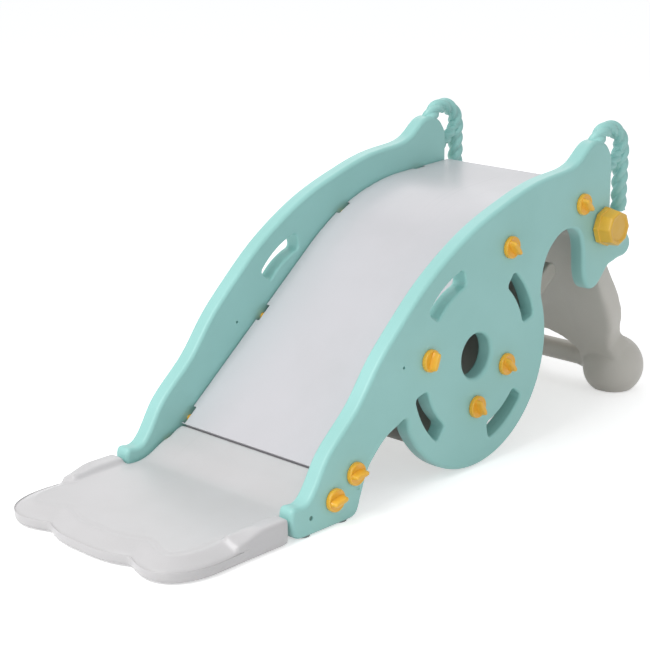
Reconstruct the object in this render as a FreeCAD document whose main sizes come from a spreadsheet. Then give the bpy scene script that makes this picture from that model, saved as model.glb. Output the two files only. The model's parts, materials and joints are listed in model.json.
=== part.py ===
"""Toddler slide: two wheel-shaped side panels, a two-piece chute and a fold-in step ladder.

Frame: origin on the floor at the middle of the footprint, +X towards the ladder, +Z up.
Side-view sketches measure x from the wheel centre and z from the floor.
"""
import FreeCAD, Part
import math
import os
from types import SimpleNamespace

import Sketcher
from FreeCAD import Placement, Rotation, Vector

SIZES = {
    # overall
    "panel_spacing": 440.0,         # between the middles of the two side panels
    "panel_thickness": 36.0,
    "front_reach": 792.0,           # wheel centre to the tip of the run-out
    "platform_top": 498.0,          # rear end of the platform above the floor
    "platform_end": 433.0,
    "incline_angle": 39.0,
    "seam_x": -375.0,               # joint between run-out and upper chute
    "seam_top": 84.0,
    # side panels
    "wheel_radius": 222.0,
    "wheel_clearance": 4.0,         # rim above the floor
    "edge_round": 8.0,
    "hub_radius": 44.0,
    "hub_lift": 4.0,                # hub centre above the wheel centre
    "slot_inner": 150.0,
    "slot_outer": 185.0,
    "slot_sweep": 38.0,
    "slot_start": 14.0,
    "slot_count": 4.0,
    "slot_corner": 9.0,
    "pin_hole_radius": 3.0,
    "vent_radius": 4.5,
    "vent_depth": 9.0,
    "vent_plug_length": 6.0,
    "rope_radius": 15.5,
    "rope_bend": 51.0,
    "strand_radius": 11.0,
    # chute
    "chute_thickness": 40.0,
    "crest_radius": 480.0,
    "platform_rise": 2.5,
    "side_gap": 2.0,                # chute edge to panel
    "seam_gap": 1.5,
    "chute_round": 4.0,
    "bed_height": 40.0,
    "rim_height": 12.0,
    "rim_width": 38.0,
    "ledge_reach": 46.0,            # tongue of the run-out under the upper chute
    "ledge_thickness": 12.0,
    # fasteners
    "bolt_radius": 7.0,
    "bolt_head_radius": 22.0,
    "bolt_head_height": 9.0,
    "bolt_grip_height": 13.0,
    "bolt_grip_width": 12.0,
    "bolt_reach": 24.0,             # shank inside its socket
    "bolt_clearance": 0.5,
    "bolt_seat": 0.2,               # head above the panel face
    "bolt_depth": 18.0,             # bolt axis below the chute surface
    "thread_pitch": 6.0,
    "thread_depth": 1.2,
    "socket_wall": 3.0,
    "socket_recess": 5.0,
    "socket_recess_radius": 20.0,
    "socket_fit": 0.1,
    "seam_screw_radius": 3.0,
    "seam_screw_head": 6.5,
    "seam_screw_spacing": 130.0,
    # ladder
    "pivot_x": 409.0,
    "pivot_drop": 80.0,             # pivot below the rear end of the platform
    "ladder_tilt": 28.7,
    "ladder_thickness": 44.0,
    "ladder_side_gap": 4.0,
    "foot_radius": 52.0,
    "rung_radius": 24.0,
    "head_radius": 31.0,
    "step_depth": 62.0,
    "step_width": 260.0,
    "step_thickness": 22.0,
    "step_round": 8.0,
    "tube_radius": 12.5,
    "tube_wall": 2.0,
    "turning_fit": 0.08,
    "bush_wall": 3.5,
    "bush_flange": 1.6,
    "bush_flange_width": 5.0,
    "washer_thickness": 2.0,
    "washer_radius": 35.0,
    "cap_radius": 41.0,
    "cap_front_radius": 35.0,
    "cap_height": 38.0,
    "cap_dish": 3.0,
    "cap_corner": 2.5,
    "cap_bore_depth": 20.0,
    "stop_beam_back": 56.0,         # front face of the rear beam, before the pivot
    "stop_beam_width": 26.0,
    "stop_beam_height": 24.0,
    "heel_height": 10.0,            # lug of the ladder head that stops against the rear beam
    "heel_rise": 14.0,
    "heel_width": 300.0,
    "seat_gap": 0.3,
    # support and pads
    "brace_thickness": 36.0,
    "brace_start": -119.0,          # along the brace, from its lower bolt
    "brace_end": 371.0,
    "pad_thickness": 4.5,
    "pad_proud": 1.5,
    "pad_radius": 15.0,
    "pad_fit": 0.2,
}

SIDES = {"left": -1, "right": 1}    # -Y and +Y
CHUTE_BOLTS = [(-348.0, 5.0), (-143.0, 70.0), (95.0, -50.0), (332.0, -45.0)]
RUN_OUT_BOLT = (-403.0, 53.0, 10.0)
# from the wheel centre, with the angle of the grip in degrees
BRACE_BOLTS = [(0.0, -98.0, -60.0), (90.0, -32.0, -50.0)]
# height of the panel's top edge over the chute surface, along x
RAIL = [(-425, 86), (-380, 94), (-336, 99), (-293, 120), (-227, 133), (-160, 137), (-92, 128), (-4, 102),
        (84, 76), (174, 66), (240, 61), (285, 62), (315, 71), (340, 89), (358, 100)]
HANDLE_BASE = [(372, 103), (392, 100)]
FOOT_BOTTOM_REAR = -352.0
FOOT_BACK = [(-338, 9), (-331, 28), (-321, 54), (-308, 84), (-290, 104), (-268, 124), (-243, 138), (-222, 146)]
WHEEL_FROM = 206.0                  # degrees round the wheel where the notch ends
WHEEL_TO = 383.0                    # where the arch starts
NOTCH_APEX = (-10.0, 26.0)          # from the start of the wheel arc
# arch and rear tab, from the ladder pivot
ARCH = [(-199, -55), (-189, -31), (-166, -6), (-136, 10), (-110, 11), (-84, 0), (-70, -26), (-65, -64),
        (-59, -102), (-44, -125), (-22, -130), (0, -116), (17, -98), (31, -87), (46, -85), (62, -80),
        (84, -79), (101, -69), (107, -54), (101, -38), (90, -24), (85, -4), (84, 6)]
ROPE_FOOT = (79.0, 16.0)            # middle of the rope where it meets the tab, from the pivot
SLIT_FLOOR = 16.0
HANDLE_RISE = 65.0                  # middle of the rope bend over the platform
STRAND_DROP = 38.0
VENT = (-462.0, 35.0)
RUNG_SHARE = 0.98
CAP_SIDES = 8
CAP_TURN = 22.5
DISH_RIM = 9.0
PANEL_PADS = (-468.0, -372.0)
RUN_OUT_PADS = (80.0, 235.0)
PAD_SPREAD = 0.38                   # of the panel spacing
SEAM_STEPS = (-1, 0, 1)
SCREW_LENGTH = "(Sizes.ledge_thickness + Sizes.seam_screw_head * 2)"
SHOULDER = -516.0                   # where the run-out widens in front of the panels


def put_sizes(doc):
    """Writes the driving dimensions into the spreadsheet, one alias per cell."""
    sheet = doc.addObject("Spreadsheet::Sheet", "Sizes")
    for row, (name, number) in enumerate(SIZES.items(), start=1):
        sheet.set(f"A{row}", name)
        sheet.set(f"B{row}", repr(number))
        sheet.setAlias(f"B{row}", name)
    doc.recompute()
    return SimpleNamespace(**{name: float(sheet.get(name)) for name in SIZES})


doc = FreeCAD.newDocument("ToddlerSlide")
v = put_sizes(doc)

# ---------------------------------------------------------------- derived places and their expressions
TILT = math.radians(v.ladder_tilt)
WHEEL_Z = v.wheel_radius + v.wheel_clearance
HUB_Z = WHEEL_Z + v.hub_lift
INNER = (v.panel_spacing - v.panel_thickness) / 2
OUTER = (v.panel_spacing + v.panel_thickness) / 2
CHUTE_HALF = INNER - v.side_gap
LADDER_HALF = INNER - v.ladder_side_gap
PIVOT_Z = v.platform_top - v.pivot_drop
LADDER_LENGTH = (PIVOT_Z - v.foot_radius - v.pad_proud) / math.cos(TILT)
REAR_REACH = v.pivot_x + LADDER_LENGTH * math.sin(TILT) + v.foot_radius
WHEEL_X = (v.front_reach - REAR_REACH) / 2
SHANK = v.panel_thickness + v.side_gap + v.socket_recess + v.bolt_reach

INNER_EXPR = "(Sizes.panel_spacing - Sizes.panel_thickness) / 2"
OUTER_EXPR = "(Sizes.panel_spacing + Sizes.panel_thickness) / 2"
PIVOT_Z_EXPR = "(Sizes.platform_top - Sizes.pivot_drop)"
FOOT_DROP_EXPR = f"({PIVOT_Z_EXPR} - Sizes.foot_radius - Sizes.pad_proud)"
LADDER_LENGTH_EXPR = f"({FOOT_DROP_EXPR} / cos(Sizes.ladder_tilt * 1 deg))"
FOOT_X_EXPR = f"({FOOT_DROP_EXPR} * tan(Sizes.ladder_tilt * 1 deg))"
WHEEL_X_EXPR = f"((Sizes.front_reach - Sizes.pivot_x - {FOOT_X_EXPR} - Sizes.foot_radius) / 2)"
PIVOT_X_EXPR = f"({WHEEL_X_EXPR} + Sizes.pivot_x)"


def surface(x):
    """Height of the chute surface at x, from the seam to the end of the platform."""
    slope = math.tan(math.radians(v.incline_angle))
    rise = math.tan(math.radians(v.platform_rise))
    meet_x, tangent = crest()
    start = meet_x - tangent * math.cos(math.radians(v.incline_angle))
    end = meet_x + tangent * math.cos(math.radians(v.platform_rise))
    if x <= start:
        return v.seam_top + (x - v.seam_x) * slope
    if x >= end:
        return v.platform_top - (v.platform_end - x) * rise
    top_z = v.platform_top - (v.platform_end - end) * rise
    centre_x = end + v.crest_radius * math.sin(math.radians(v.platform_rise))
    centre_z = top_z - v.crest_radius * math.cos(math.radians(v.platform_rise))
    return centre_z + math.sqrt(v.crest_radius ** 2 - (x - centre_x) ** 2)


def crest():
    """Where the incline and the platform lines meet, and the tangent length of the arc between."""
    slope = math.tan(math.radians(v.incline_angle))
    rise = math.tan(math.radians(v.platform_rise))
    base = v.platform_top - v.platform_end * rise
    meet_x = (base - v.seam_top + v.seam_x * slope) / (slope - rise)
    half_turn = math.radians(v.incline_angle - v.platform_rise) / 2
    return meet_x, v.crest_radius * math.tan(half_turn)


def bolt_places():
    """Every wing bolt as x, z and the angle of its grip."""
    chute = [(x, surface(x) - v.bolt_depth, angle) for x, angle in CHUTE_BOLTS]
    brace = [(x, WHEEL_Z + rise, angle) for x, rise, angle in BRACE_BOLTS]
    return {"chute": chute, "run_out": [RUN_OUT_BOLT], "brace": brace}


BOLTS = bolt_places()


# ---------------------------------------------------------------- helpers
def point(x, z):
    """A point of a sketch."""
    return Vector(x, z, 0)


def line(start, end):
    """A straight sketch edge."""
    return Part.LineSegment(start, end)


def spline(points):
    """A smooth sketch edge through points."""
    curve = Part.BSplineCurve()
    curve.interpolate(points)
    return curve


def arc(start, middle, end):
    """A round sketch edge through three points."""
    return Part.Arc(start, middle, end)


def circle(x, z, radius):
    """A full circle of a sketch."""
    return Part.Circle(point(x, z), Vector(0, 0, 1), radius)


def polygon(corners):
    """A closed run of straight edges."""
    return [line(a, b) for a, b in zip(corners, corners[1:] + corners[:1])]


def new_body(label):
    """An empty body with its own label."""
    body = doc.addObject("PartDesign::Body", label)
    body.Label = label
    return body


def new_sketch(body, name, curves, plane="XZ_Plane", offset=None, origin=None):
    """A sketch on one of the body's origin planes, moved by expressions along its normal and in its plane."""
    sketch = body.newObject("Sketcher::SketchObject", name)
    base = next(item for item in body.Origin.OriginFeatures if item.Role == plane)
    sketch.AttachmentSupport = [(base, "")]
    sketch.MapMode = "FlatFace"
    for axis, expression in zip("xy", origin or ()):
        sketch.setExpression(f"AttachmentOffset.Base.{axis}", expression)
    if offset:
        sketch.setExpression("AttachmentOffset.Base.z", offset)
    sketch.addGeometry(list(curves), False)
    return sketch


def bind_radius(sketch, index, expression):
    """Ties the radius of a circle of a sketch to an expression."""
    place = sketch.addConstraint(Sketcher.Constraint("Radius", index, sketch.Geometry[index].Radius))
    name = f"radius_{index}"
    sketch.renameConstraint(place, name)
    sketch.setExpression(f"Constraints.{name}", expression)


def extrude(body, kind, name, sketch, length=None, both_ways=True, backwards=False):
    """A Pad or Pocket of a sketch; with no length a pocket goes through everything."""
    feature = body.newObject(f"PartDesign::{kind}", name)
    feature.Profile = sketch
    if length is None:
        feature.Type = "ThroughAll"
    else:
        feature.setExpression("Length", length)
    if both_ways:
        feature.SideType = "Symmetric"
    feature.Reversed = backwards
    sketch.Visibility = False
    return feature


def round_edges(body, name, radius, test):
    """Rounds the edges of the body's last feature that pass the test."""
    doc.recompute()
    base = body.Tip
    names = [f"Edge{i}" for i, edge in enumerate(base.Shape.Edges, start=1) if test(edge)]
    fillet = body.newObject("PartDesign::Fillet", name)
    fillet.Base = (base, names)
    fillet.setExpression("Radius", radius)
    return fillet


def within(value, target, slack=0.01):
    """Whether two lengths agree."""
    return abs(value - target) < slack


def flat_at(edge, axis, level):
    """Whether an edge lies wholly at a level of an axis."""
    box = edge.BoundBox
    low = getattr(box, f"{axis}Min")
    high = getattr(box, f"{axis}Max")
    return within(low, level) and within(high, level)


def on_side(half):
    """A test for edges that lie in either side face of a body this wide."""
    return lambda edge: flat_at(edge, "Y", half) or flat_at(edge, "Y", -half)


def against(edge, start, direction):
    """Whether an edge of a side face runs along a line of the side view."""
    away = edge.CenterOfMass - Vector(start.x, 0, start.y)
    return within(away.x * direction.y - away.z * direction.x, 0)


def place(item, x="0", y="0", z="0"):
    """Ties an object's place to expressions."""
    for axis, expression in zip("xyz", (x, y, z)):
        item.setExpression(f"Placement.Base.{axis}", expression)


def cylinder(name, radius, height, base=(0, 0, 0), axis=(0, 0, 1)):
    """A Part cylinder bound to expressions, with its axis along a direction."""
    item = doc.addObject("Part::Cylinder", name)
    item.setExpression("Radius", radius)
    item.setExpression("Height", height)
    item.Placement = Placement(Vector(), Rotation(Vector(0, 0, 1), Vector(*axis)))
    place(item, *(str(number) for number in base))
    return item


def fuse(label, shapes):
    """One moulding made of several shapes."""
    item = doc.addObject("Part::MultiFuse", label)
    item.Shapes = shapes
    item.Refine = True
    item.Label = label
    return item


def cut(label, base, tool):
    """A shape less its tool."""
    item = doc.addObject("Part::Cut", label)
    item.Base = base
    item.Tool = tool
    item.Label = label
    return item


def group(label, items):
    """Identical pieces that share one node."""
    item = doc.addObject("Part::Compound", label)
    item.Links = items
    item.Label = label
    return item


# ---------------------------------------------------------------- side panels
def side_outline():
    """Outline of a side panel: foot, wheel, arch, rear tab, handle root and the curved top edge."""
    foot_z = v.pad_proud
    nose = [point(-508, 22), point(-510, 55), point(-506, 64), point(-487, 61), point(-456, 80)]
    top = [point(x, surface(x) + rail) for x, rail in RAIL]
    handle = [point(x, surface(x) + rail) for x, rail in HANDLE_BASE]
    wheel = [wheel_point(angle) for angle in (WHEEL_FROM, (WHEEL_FROM + WHEEL_TO) / 2, WHEEL_TO)]
    apex = wheel[0] + point(*NOTCH_APEX)
    back = [point(FOOT_BOTTOM_REAR, foot_z)] + [point(x, z + foot_z) for x, z in FOOT_BACK] + [apex, wheel[0]]
    arch = [wheel[2]] + [point(v.pivot_x + x, PIVOT_Z + z) for x, z in ARCH]
    tab_top = PIVOT_Z + SLIT_FLOOR
    tab_rear, tab_front = point(v.pivot_x + 80, tab_top), point(v.pivot_x + 26, tab_top)
    plate_rear = point(v.pivot_x + 24, surface(v.platform_end) + 62)
    corner = point(v.pivot_x + 6, handle[-1].y - 10)
    heel = point(-486, foot_z)
    return [
        spline(nose + top),
        spline([top[-1], handle[0], handle[1]]),
        line(handle[1], corner),
        line(corner, plate_rear),
        line(plate_rear, tab_front),
        line(tab_front, tab_rear),
        line(tab_rear, arch[-1]),
        spline(arch[::-1]),
        arc(wheel[2], wheel[1], wheel[0]),
        spline(back[::-1]),
        line(back[0], heel),
        arc(heel, point(-502, 7 + foot_z), nose[0]),
    ]


def wheel_point(angle):
    """A point of the wheel's rim."""
    turn = math.radians(angle)
    return point(v.wheel_radius * math.cos(turn), WHEEL_Z + v.wheel_radius * math.sin(turn))


def slot_outline():
    """One arc slot round the hub, which is the sketch's origin."""
    inner, outer = v.slot_inner, v.slot_outer
    turns = [math.radians(v.slot_start + v.slot_sweep * share) for share in (0, 0.5, 1)]
    low, middle, high = (Vector(math.cos(turn), math.sin(turn), 0) for turn in turns)
    return [
        arc(low * inner, middle * inner, high * inner),
        line(high * inner, high * outer),
        arc(high * outer, middle * outer, low * outer),
        line(low * outer, low * inner),
    ]


def side_panel(side):
    """A blow-moulded side panel with its hub hole, arc slots and bolt holes."""
    body = new_body(f"side_panel_{side}")
    half = v.panel_thickness / 2
    hub_expr = "Sizes.wheel_radius + Sizes.wheel_clearance + Sizes.hub_lift"
    extrude(body, "Pad", "panel", new_sketch(body, "outline", side_outline()), "Sizes.panel_thickness")
    hub = new_sketch(body, "hub", [circle(0, 0, v.hub_radius)], origin=("0", hub_expr))
    bind_radius(hub, 0, "Sizes.hub_radius")
    extrude(body, "Pocket", "hub_hole", hub)
    slot_sketch = new_sketch(body, "slot", slot_outline(), origin=("0", hub_expr))
    slot = extrude(body, "Pocket", "slot_hole", slot_sketch)
    doc.recompute()
    slots = body.newObject("PartDesign::PolarPattern", "slots")
    slots.Originals = [slot]
    slots.Axis = (slot_sketch, ["N_Axis"])
    slots.Angle = 360
    slots.setExpression("Occurrences", "Sizes.slot_count")
    body.Tip = slots
    doc.recompute()
    centre = Vector(0, 0, HUB_Z)

    def across(edge):
        away = edge.CenterOfMass - centre
        return within(edge.Length, v.panel_thickness) and math.hypot(away.x, away.z) < v.slot_outer + 1

    def hub_rim(edge):
        away = edge.CenterOfMass - centre
        flat = flat_at(edge, "Y", half) or flat_at(edge, "Y", -half)
        return flat and math.hypot(away.x, away.z) < v.hub_radius

    def slot_corner(edge):
        away = edge.CenterOfMass - centre
        return across(edge) and math.hypot(away.x, away.z) > v.slot_inner - 1

    round_edges(body, "slot_corners", "Sizes.slot_corner", slot_corner)
    round_edges(body, "hub_rim", "Sizes.edge_round", hub_rim)
    places = [(x, z) for bolts in BOLTS.values() for x, z, _ in bolts]
    holes = new_sketch(body, "bolt_holes", [circle(x, z, v.bolt_radius + v.bolt_clearance) for x, z in places])
    for index in range(len(places)):
        bind_radius(holes, index, "Sizes.bolt_radius + Sizes.bolt_clearance")
    extrude(body, "Pocket", "bolt_bores", holes)
    pivot = new_sketch(body, "pivot", [circle(v.pivot_x, PIVOT_Z, v.tube_radius + v.bush_wall)])
    bind_radius(pivot, 0, "Sizes.tube_radius + Sizes.bush_wall")
    extrude(body, "Pocket", "pivot_bore", pivot)
    pin = new_sketch(body, "pin", [circle(-215, 256, v.pin_hole_radius)])
    bind_radius(pin, 0, "Sizes.pin_hole_radius")
    extrude(body, "Pocket", "pin_hole", pin)
    sign = SIDES[side]
    vent = new_sketch(body, "vent", [circle(*VENT, v.vent_radius)], offset=f"{-sign} * Sizes.panel_thickness / 2")
    bind_radius(vent, 0, "Sizes.vent_radius + Sizes.socket_fit")
    extrude(body, "Pocket", "vent_hole", vent, "Sizes.vent_depth", False, sign > 0)
    pad_recesses(body, [(x, 0) for x in PANEL_PADS])
    place(body, WHEEL_X_EXPR, f"{sign} * Sizes.panel_spacing / 2")
    return body


def rope_handle(side):
    """The moulded rope of a panel: a bend over the top, a straight drop and a crossing strand."""
    drop_x = v.pivot_x + ROPE_FOOT[0]
    bend_x = drop_x - v.rope_bend
    foot_z = PIVOT_Z + ROPE_FOOT[1]
    bend_z = surface(v.platform_end) + HANDLE_RISE
    bend = doc.addObject("Part::Torus", f"bend_{side}")
    bend.setExpression("Radius1", "Sizes.rope_bend")
    bend.setExpression("Radius2", "Sizes.rope_radius")
    bend.Angle3 = 180
    bend.Placement = Placement(Vector(bend_x, 0, bend_z), Rotation(Vector(1, 0, 0), 90))
    drop = doc.addObject("Part::Cylinder", f"drop_{side}")
    drop.setExpression("Radius", "Sizes.rope_radius")
    drop.Height = bend_z - foot_z
    drop.Placement = Placement(Vector(drop_x, 0, foot_z), Rotation())
    start = Vector(drop_x - 2, 0, bend_z + 4)
    run = Vector(v.pivot_x + 20, 0, bend_z - STRAND_DROP) - start
    strand = doc.addObject("Part::Cylinder", f"strand_{side}")
    strand.setExpression("Radius", "Sizes.strand_radius")
    strand.Height = run.Length
    strand.Placement = Placement(start, Rotation(Vector(0, 0, 1), run))
    handle = fuse(f"rope_handle_{side}", [bend, drop, strand])
    place(handle, WHEEL_X_EXPR, f"{SIDES[side]} * Sizes.panel_spacing / 2")
    return handle


def vent_plugs():
    """Plugs that close the blow-moulding vents of the panels, one in each front foot."""
    plugs = []
    for side, sign in SIDES.items():
        plug = cylinder(f"vent_plug_{side}", "Sizes.vent_radius", "Sizes.vent_plug_length", axis=(0, -sign, 0))
        place(plug, f"{WHEEL_X_EXPR} + {VENT[0]}", f"{sign} * ({OUTER_EXPR} - 2)", str(VENT[1]))
        plugs.append(plug)
    return group("vent_plugs", plugs)


# ---------------------------------------------------------------- chute
def side_sockets(body, places, half_expr):
    """Round recesses and bores in both sides of a body, one at each place, for the bolt sockets."""
    for sign in SIDES.values():
        away = f"{-sign} * ({half_expr})"
        recess = new_sketch(body, "recess", [circle(x, z, v.socket_recess_radius) for x, z in places], offset=away)
        bore = new_sketch(body, "bore", [circle(x, z, v.bolt_radius) for x, z in places], offset=away)
        for index in range(len(places)):
            bind_radius(recess, index, "Sizes.socket_recess_radius")
            bind_radius(bore, index, "Sizes.bolt_radius + Sizes.socket_wall + Sizes.socket_fit")
        extrude(body, "Pocket", "recess_cut", recess, "Sizes.socket_recess", False, sign > 0)
        extrude(body, "Pocket", "bore_cut", bore, "Sizes.socket_recess + Sizes.bolt_reach", False, sign > 0)


def pad_recesses(body, places):
    """Round recesses for the floor pads in the underside of a body."""
    sketch = new_sketch(body, "pads", [circle(x, y, v.pad_radius) for x, y in places], "XY_Plane", "Sizes.pad_proud")
    for index in range(len(places)):
        bind_radius(sketch, index, "Sizes.pad_radius + Sizes.pad_fit")
    extrude(body, "Pocket", "pad_cut", sketch, "Sizes.pad_thickness - Sizes.pad_proud", False, True)


def seam_bores(name, base):
    """Cuts the bores of the seam screws out of a moulding and gives it its name."""
    slope = math.radians(v.incline_angle)
    up = Vector(-math.sin(slope), 0, math.cos(slope))
    low = under_ledge()
    tools = []
    for step in SEAM_STEPS:
        tool = cylinder(f"{name}_bore_{step + 2}", "Sizes.seam_screw_radius + Sizes.socket_fit",
                        f"{SCREW_LENGTH} + Sizes.socket_fit")
        tool.Placement = Placement(Vector(), Rotation(Vector(0, 0, 1), up))
        place(tool, f"{WHEEL_X_EXPR} + {low.x}", f"{step} * Sizes.seam_screw_spacing", str(low.y))
        tools.append(tool)
    return cut(name, base, fuse(f"{name}_bores", tools))


def chute_upper():
    """Upper chute: incline, crest and platform in one moulding of even thickness."""
    body = new_body("chute_slab")
    slope = math.radians(v.incline_angle)
    rise = math.radians(v.platform_rise)
    meet_x, tangent = crest()
    seam = v.seam_x + v.seam_gap
    start_x = meet_x - tangent * math.cos(slope)
    end_x = meet_x + tangent * math.cos(rise)
    middle_x = (start_x + end_x) / 2
    middle_turn = math.asin((crest_centre().x - middle_x) / v.crest_radius)
    inner = v.crest_radius - v.chute_thickness
    top = [point(seam, surface(seam)), point(start_x, surface(start_x)), point(end_x, surface(end_x)),
           point(v.platform_end, surface(v.platform_end))]
    centre = crest_centre()

    def under(at):
        return centre + (at - centre) * (inner / v.crest_radius)

    middle = centre + Vector(math.sin(-middle_turn), math.cos(middle_turn), 0) * v.crest_radius
    down = Vector(math.sin(slope), -math.cos(slope), 0) * v.chute_thickness
    rear_low = top[3] - Vector(0, v.chute_thickness, 0)
    outline = [
        line(top[0], top[1]),
        arc(top[1], middle, top[2]),
        line(top[2], top[3]),
        line(top[3], rear_low),
        line(rear_low, under(top[2])),
        arc(under(top[2]), under(middle), under(top[1])),
        line(under(top[1]), top[0] + down),
        line(top[0] + down, top[0]),
    ]
    extrude(body, "Pad", "slab", new_sketch(body, "profile", outline),
            f"2 * ({INNER_EXPR} - Sizes.side_gap)")
    round_edges(body, "long_edges", "Sizes.chute_round", on_side(CHUTE_HALF))
    side_sockets(body, [(x, z) for x, z, _ in BOLTS["chute"]], f"{INNER_EXPR} - Sizes.side_gap")
    place(body, WHEEL_X_EXPR)
    return seam_bores("chute_upper", body)


def crest_centre():
    """Centre of the arc between the incline and the platform."""
    meet_x, tangent = crest()
    rise = math.radians(v.platform_rise)
    end_x = meet_x + tangent * math.cos(rise)
    return point(end_x + v.crest_radius * math.sin(rise), surface(end_x) - v.crest_radius * math.cos(rise))


def run_out():
    """Lower chute: lobed bed on the floor, raised side rims and a ramp up to the seam."""
    body = new_body("run_out_shell")
    foot_z = v.pad_proud
    wide = OUTER + 1
    tip = -v.front_reach
    lobe = v.panel_spacing * 0.245

    right = [point(SHOULDER, wide), point(tip + 150, wide)]
    curve = [right[-1], point(tip + 88, wide + 1), point(tip + 44, wide - 11), point(tip + 14, wide - 36),
             point(tip + 4, wide - 66), point(tip + 8, wide - 98), point(tip + 22, lobe)]
    half_lobe = [point(tip + 22, lobe), point(tip + 5, lobe * 0.62), point(tip, 0)]
    mirror = [point(p.x, -p.y) for p in half_lobe[:-1]][::-1]
    outline = [
        line(point(SHOULDER, -wide), point(SHOULDER, wide)),
        line(right[0], right[1]),
        spline(curve),
        spline(half_lobe + mirror),
        spline([point(p.x, -p.y) for p in curve][::-1]),
        line(point(right[1].x, -wide), point(SHOULDER, -wide)),
    ]
    extrude(body, "Pad", "bed", new_sketch(body, "plan", outline, "XY_Plane", "Sizes.pad_proud"),
                  "Sizes.bed_height - Sizes.pad_proud", False)
    slope = math.radians(v.incline_angle)
    seam = v.seam_x
    top = point(seam, surface(seam))
    down = Vector(math.sin(slope), -math.cos(slope), 0)
    ledge_top = top + down * (v.chute_thickness + v.seat_gap)
    ledge_low = ledge_top + down * v.ledge_thickness
    along = Vector(math.cos(slope), math.sin(slope), 0) * v.ledge_reach
    profile = [
        line(point(SHOULDER - 1, v.bed_height), point(-493, v.bed_height)),
        spline([point(-493, v.bed_height), point(-462, 46), point(-430, 62), point(-400, 74), top]),
        line(top, ledge_top),
        line(ledge_top, ledge_top + along),
        line(ledge_top + along, ledge_low + along),
        line(ledge_low + along, ledge_low),
        line(ledge_low, point(-420, foot_z)),
        line(point(-420, foot_z), point(SHOULDER - 1, foot_z)),
        line(point(SHOULDER - 1, foot_z), point(SHOULDER - 1, v.bed_height)),
    ]
    extrude(body, "Pad", "ramp", new_sketch(body, "ramp_profile", profile), f"2 * ({INNER_EXPR} - Sizes.side_gap)")
    rims = []
    for sign in SIDES.values():
        near, far = sorted((sign * (wide - v.rim_width), sign * wide))
        rims += polygon([point(SHOULDER, near), point(SHOULDER, far), point(tip + 150, far),
                         point(tip + 150, near)])
    rim_sketch = new_sketch(body, "rims", rims, "XY_Plane", "Sizes.bed_height - 1")
    extrude(body, "Pad", "side_rims", rim_sketch, "Sizes.rim_height + 1", False)
    side_sockets(body, [RUN_OUT_BOLT[:2]], f"{INNER_EXPR} - Sizes.side_gap")
    spread = v.panel_spacing * PAD_SPREAD
    pad_recesses(body, [(x - v.front_reach, sign * spread) for x in RUN_OUT_PADS for sign in SIDES.values()])
    place(body, WHEEL_X_EXPR)
    return seam_bores("run_out", body)


# ---------------------------------------------------------------- brace and beams
def brace_direction():
    """Unit vector along the brace, from its lower bolt to its upper one."""
    (low_x, low_rise, _), (high_x, high_rise, _) = BRACE_BOLTS
    return point(high_x - low_x, high_rise - low_rise).normalize()


def brace_board():
    """The long board between the panels, below the chute."""
    body = new_body("brace_board")
    along = brace_direction()
    side = Vector(-along.y, along.x, 0) * (v.brace_thickness / 2)
    foot = point(BRACE_BOLTS[0][0], WHEEL_Z + BRACE_BOLTS[0][1])
    low = foot + along * (v.brace_start + v.brace_thickness / 2)
    high = foot + along * (v.brace_end - v.brace_thickness / 2)
    nose = along * (v.brace_thickness / 2)
    outline = [
        line(low + side, high + side),
        arc(high + side, high + nose, high - side),
        line(high - side, low - side),
        arc(low - side, low - nose, low + side),
    ]
    extrude(body, "Pad", "board", new_sketch(body, "profile", outline), f"2 * ({INNER_EXPR} - Sizes.side_gap)")
    round_edges(body, "long_edges", "Sizes.chute_round", on_side(CHUTE_HALF))
    side_sockets(body, [(x, z) for x, z, _ in BOLTS["brace"]], f"{INNER_EXPR} - Sizes.side_gap")
    place(body, WHEEL_X_EXPR)
    return body


def rear_beam():
    """Cross beam under the platform, that the head of the open ladder stops against."""
    body = new_body("rear_beam")
    low_x = v.pivot_x - v.stop_beam_back
    top = min(surface(low_x), surface(low_x + v.stop_beam_width)) - v.chute_thickness - v.seat_gap
    corners = [point(low_x, top - v.stop_beam_height), point(low_x + v.stop_beam_width, top - v.stop_beam_height),
               point(low_x + v.stop_beam_width, top), point(low_x, top)]
    extrude(body, "Pad", "beam", new_sketch(body, "profile", polygon(corners)),
            f"2 * ({INNER_EXPR} - Sizes.seat_gap)")
    place(body, WHEEL_X_EXPR)
    return body


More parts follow.
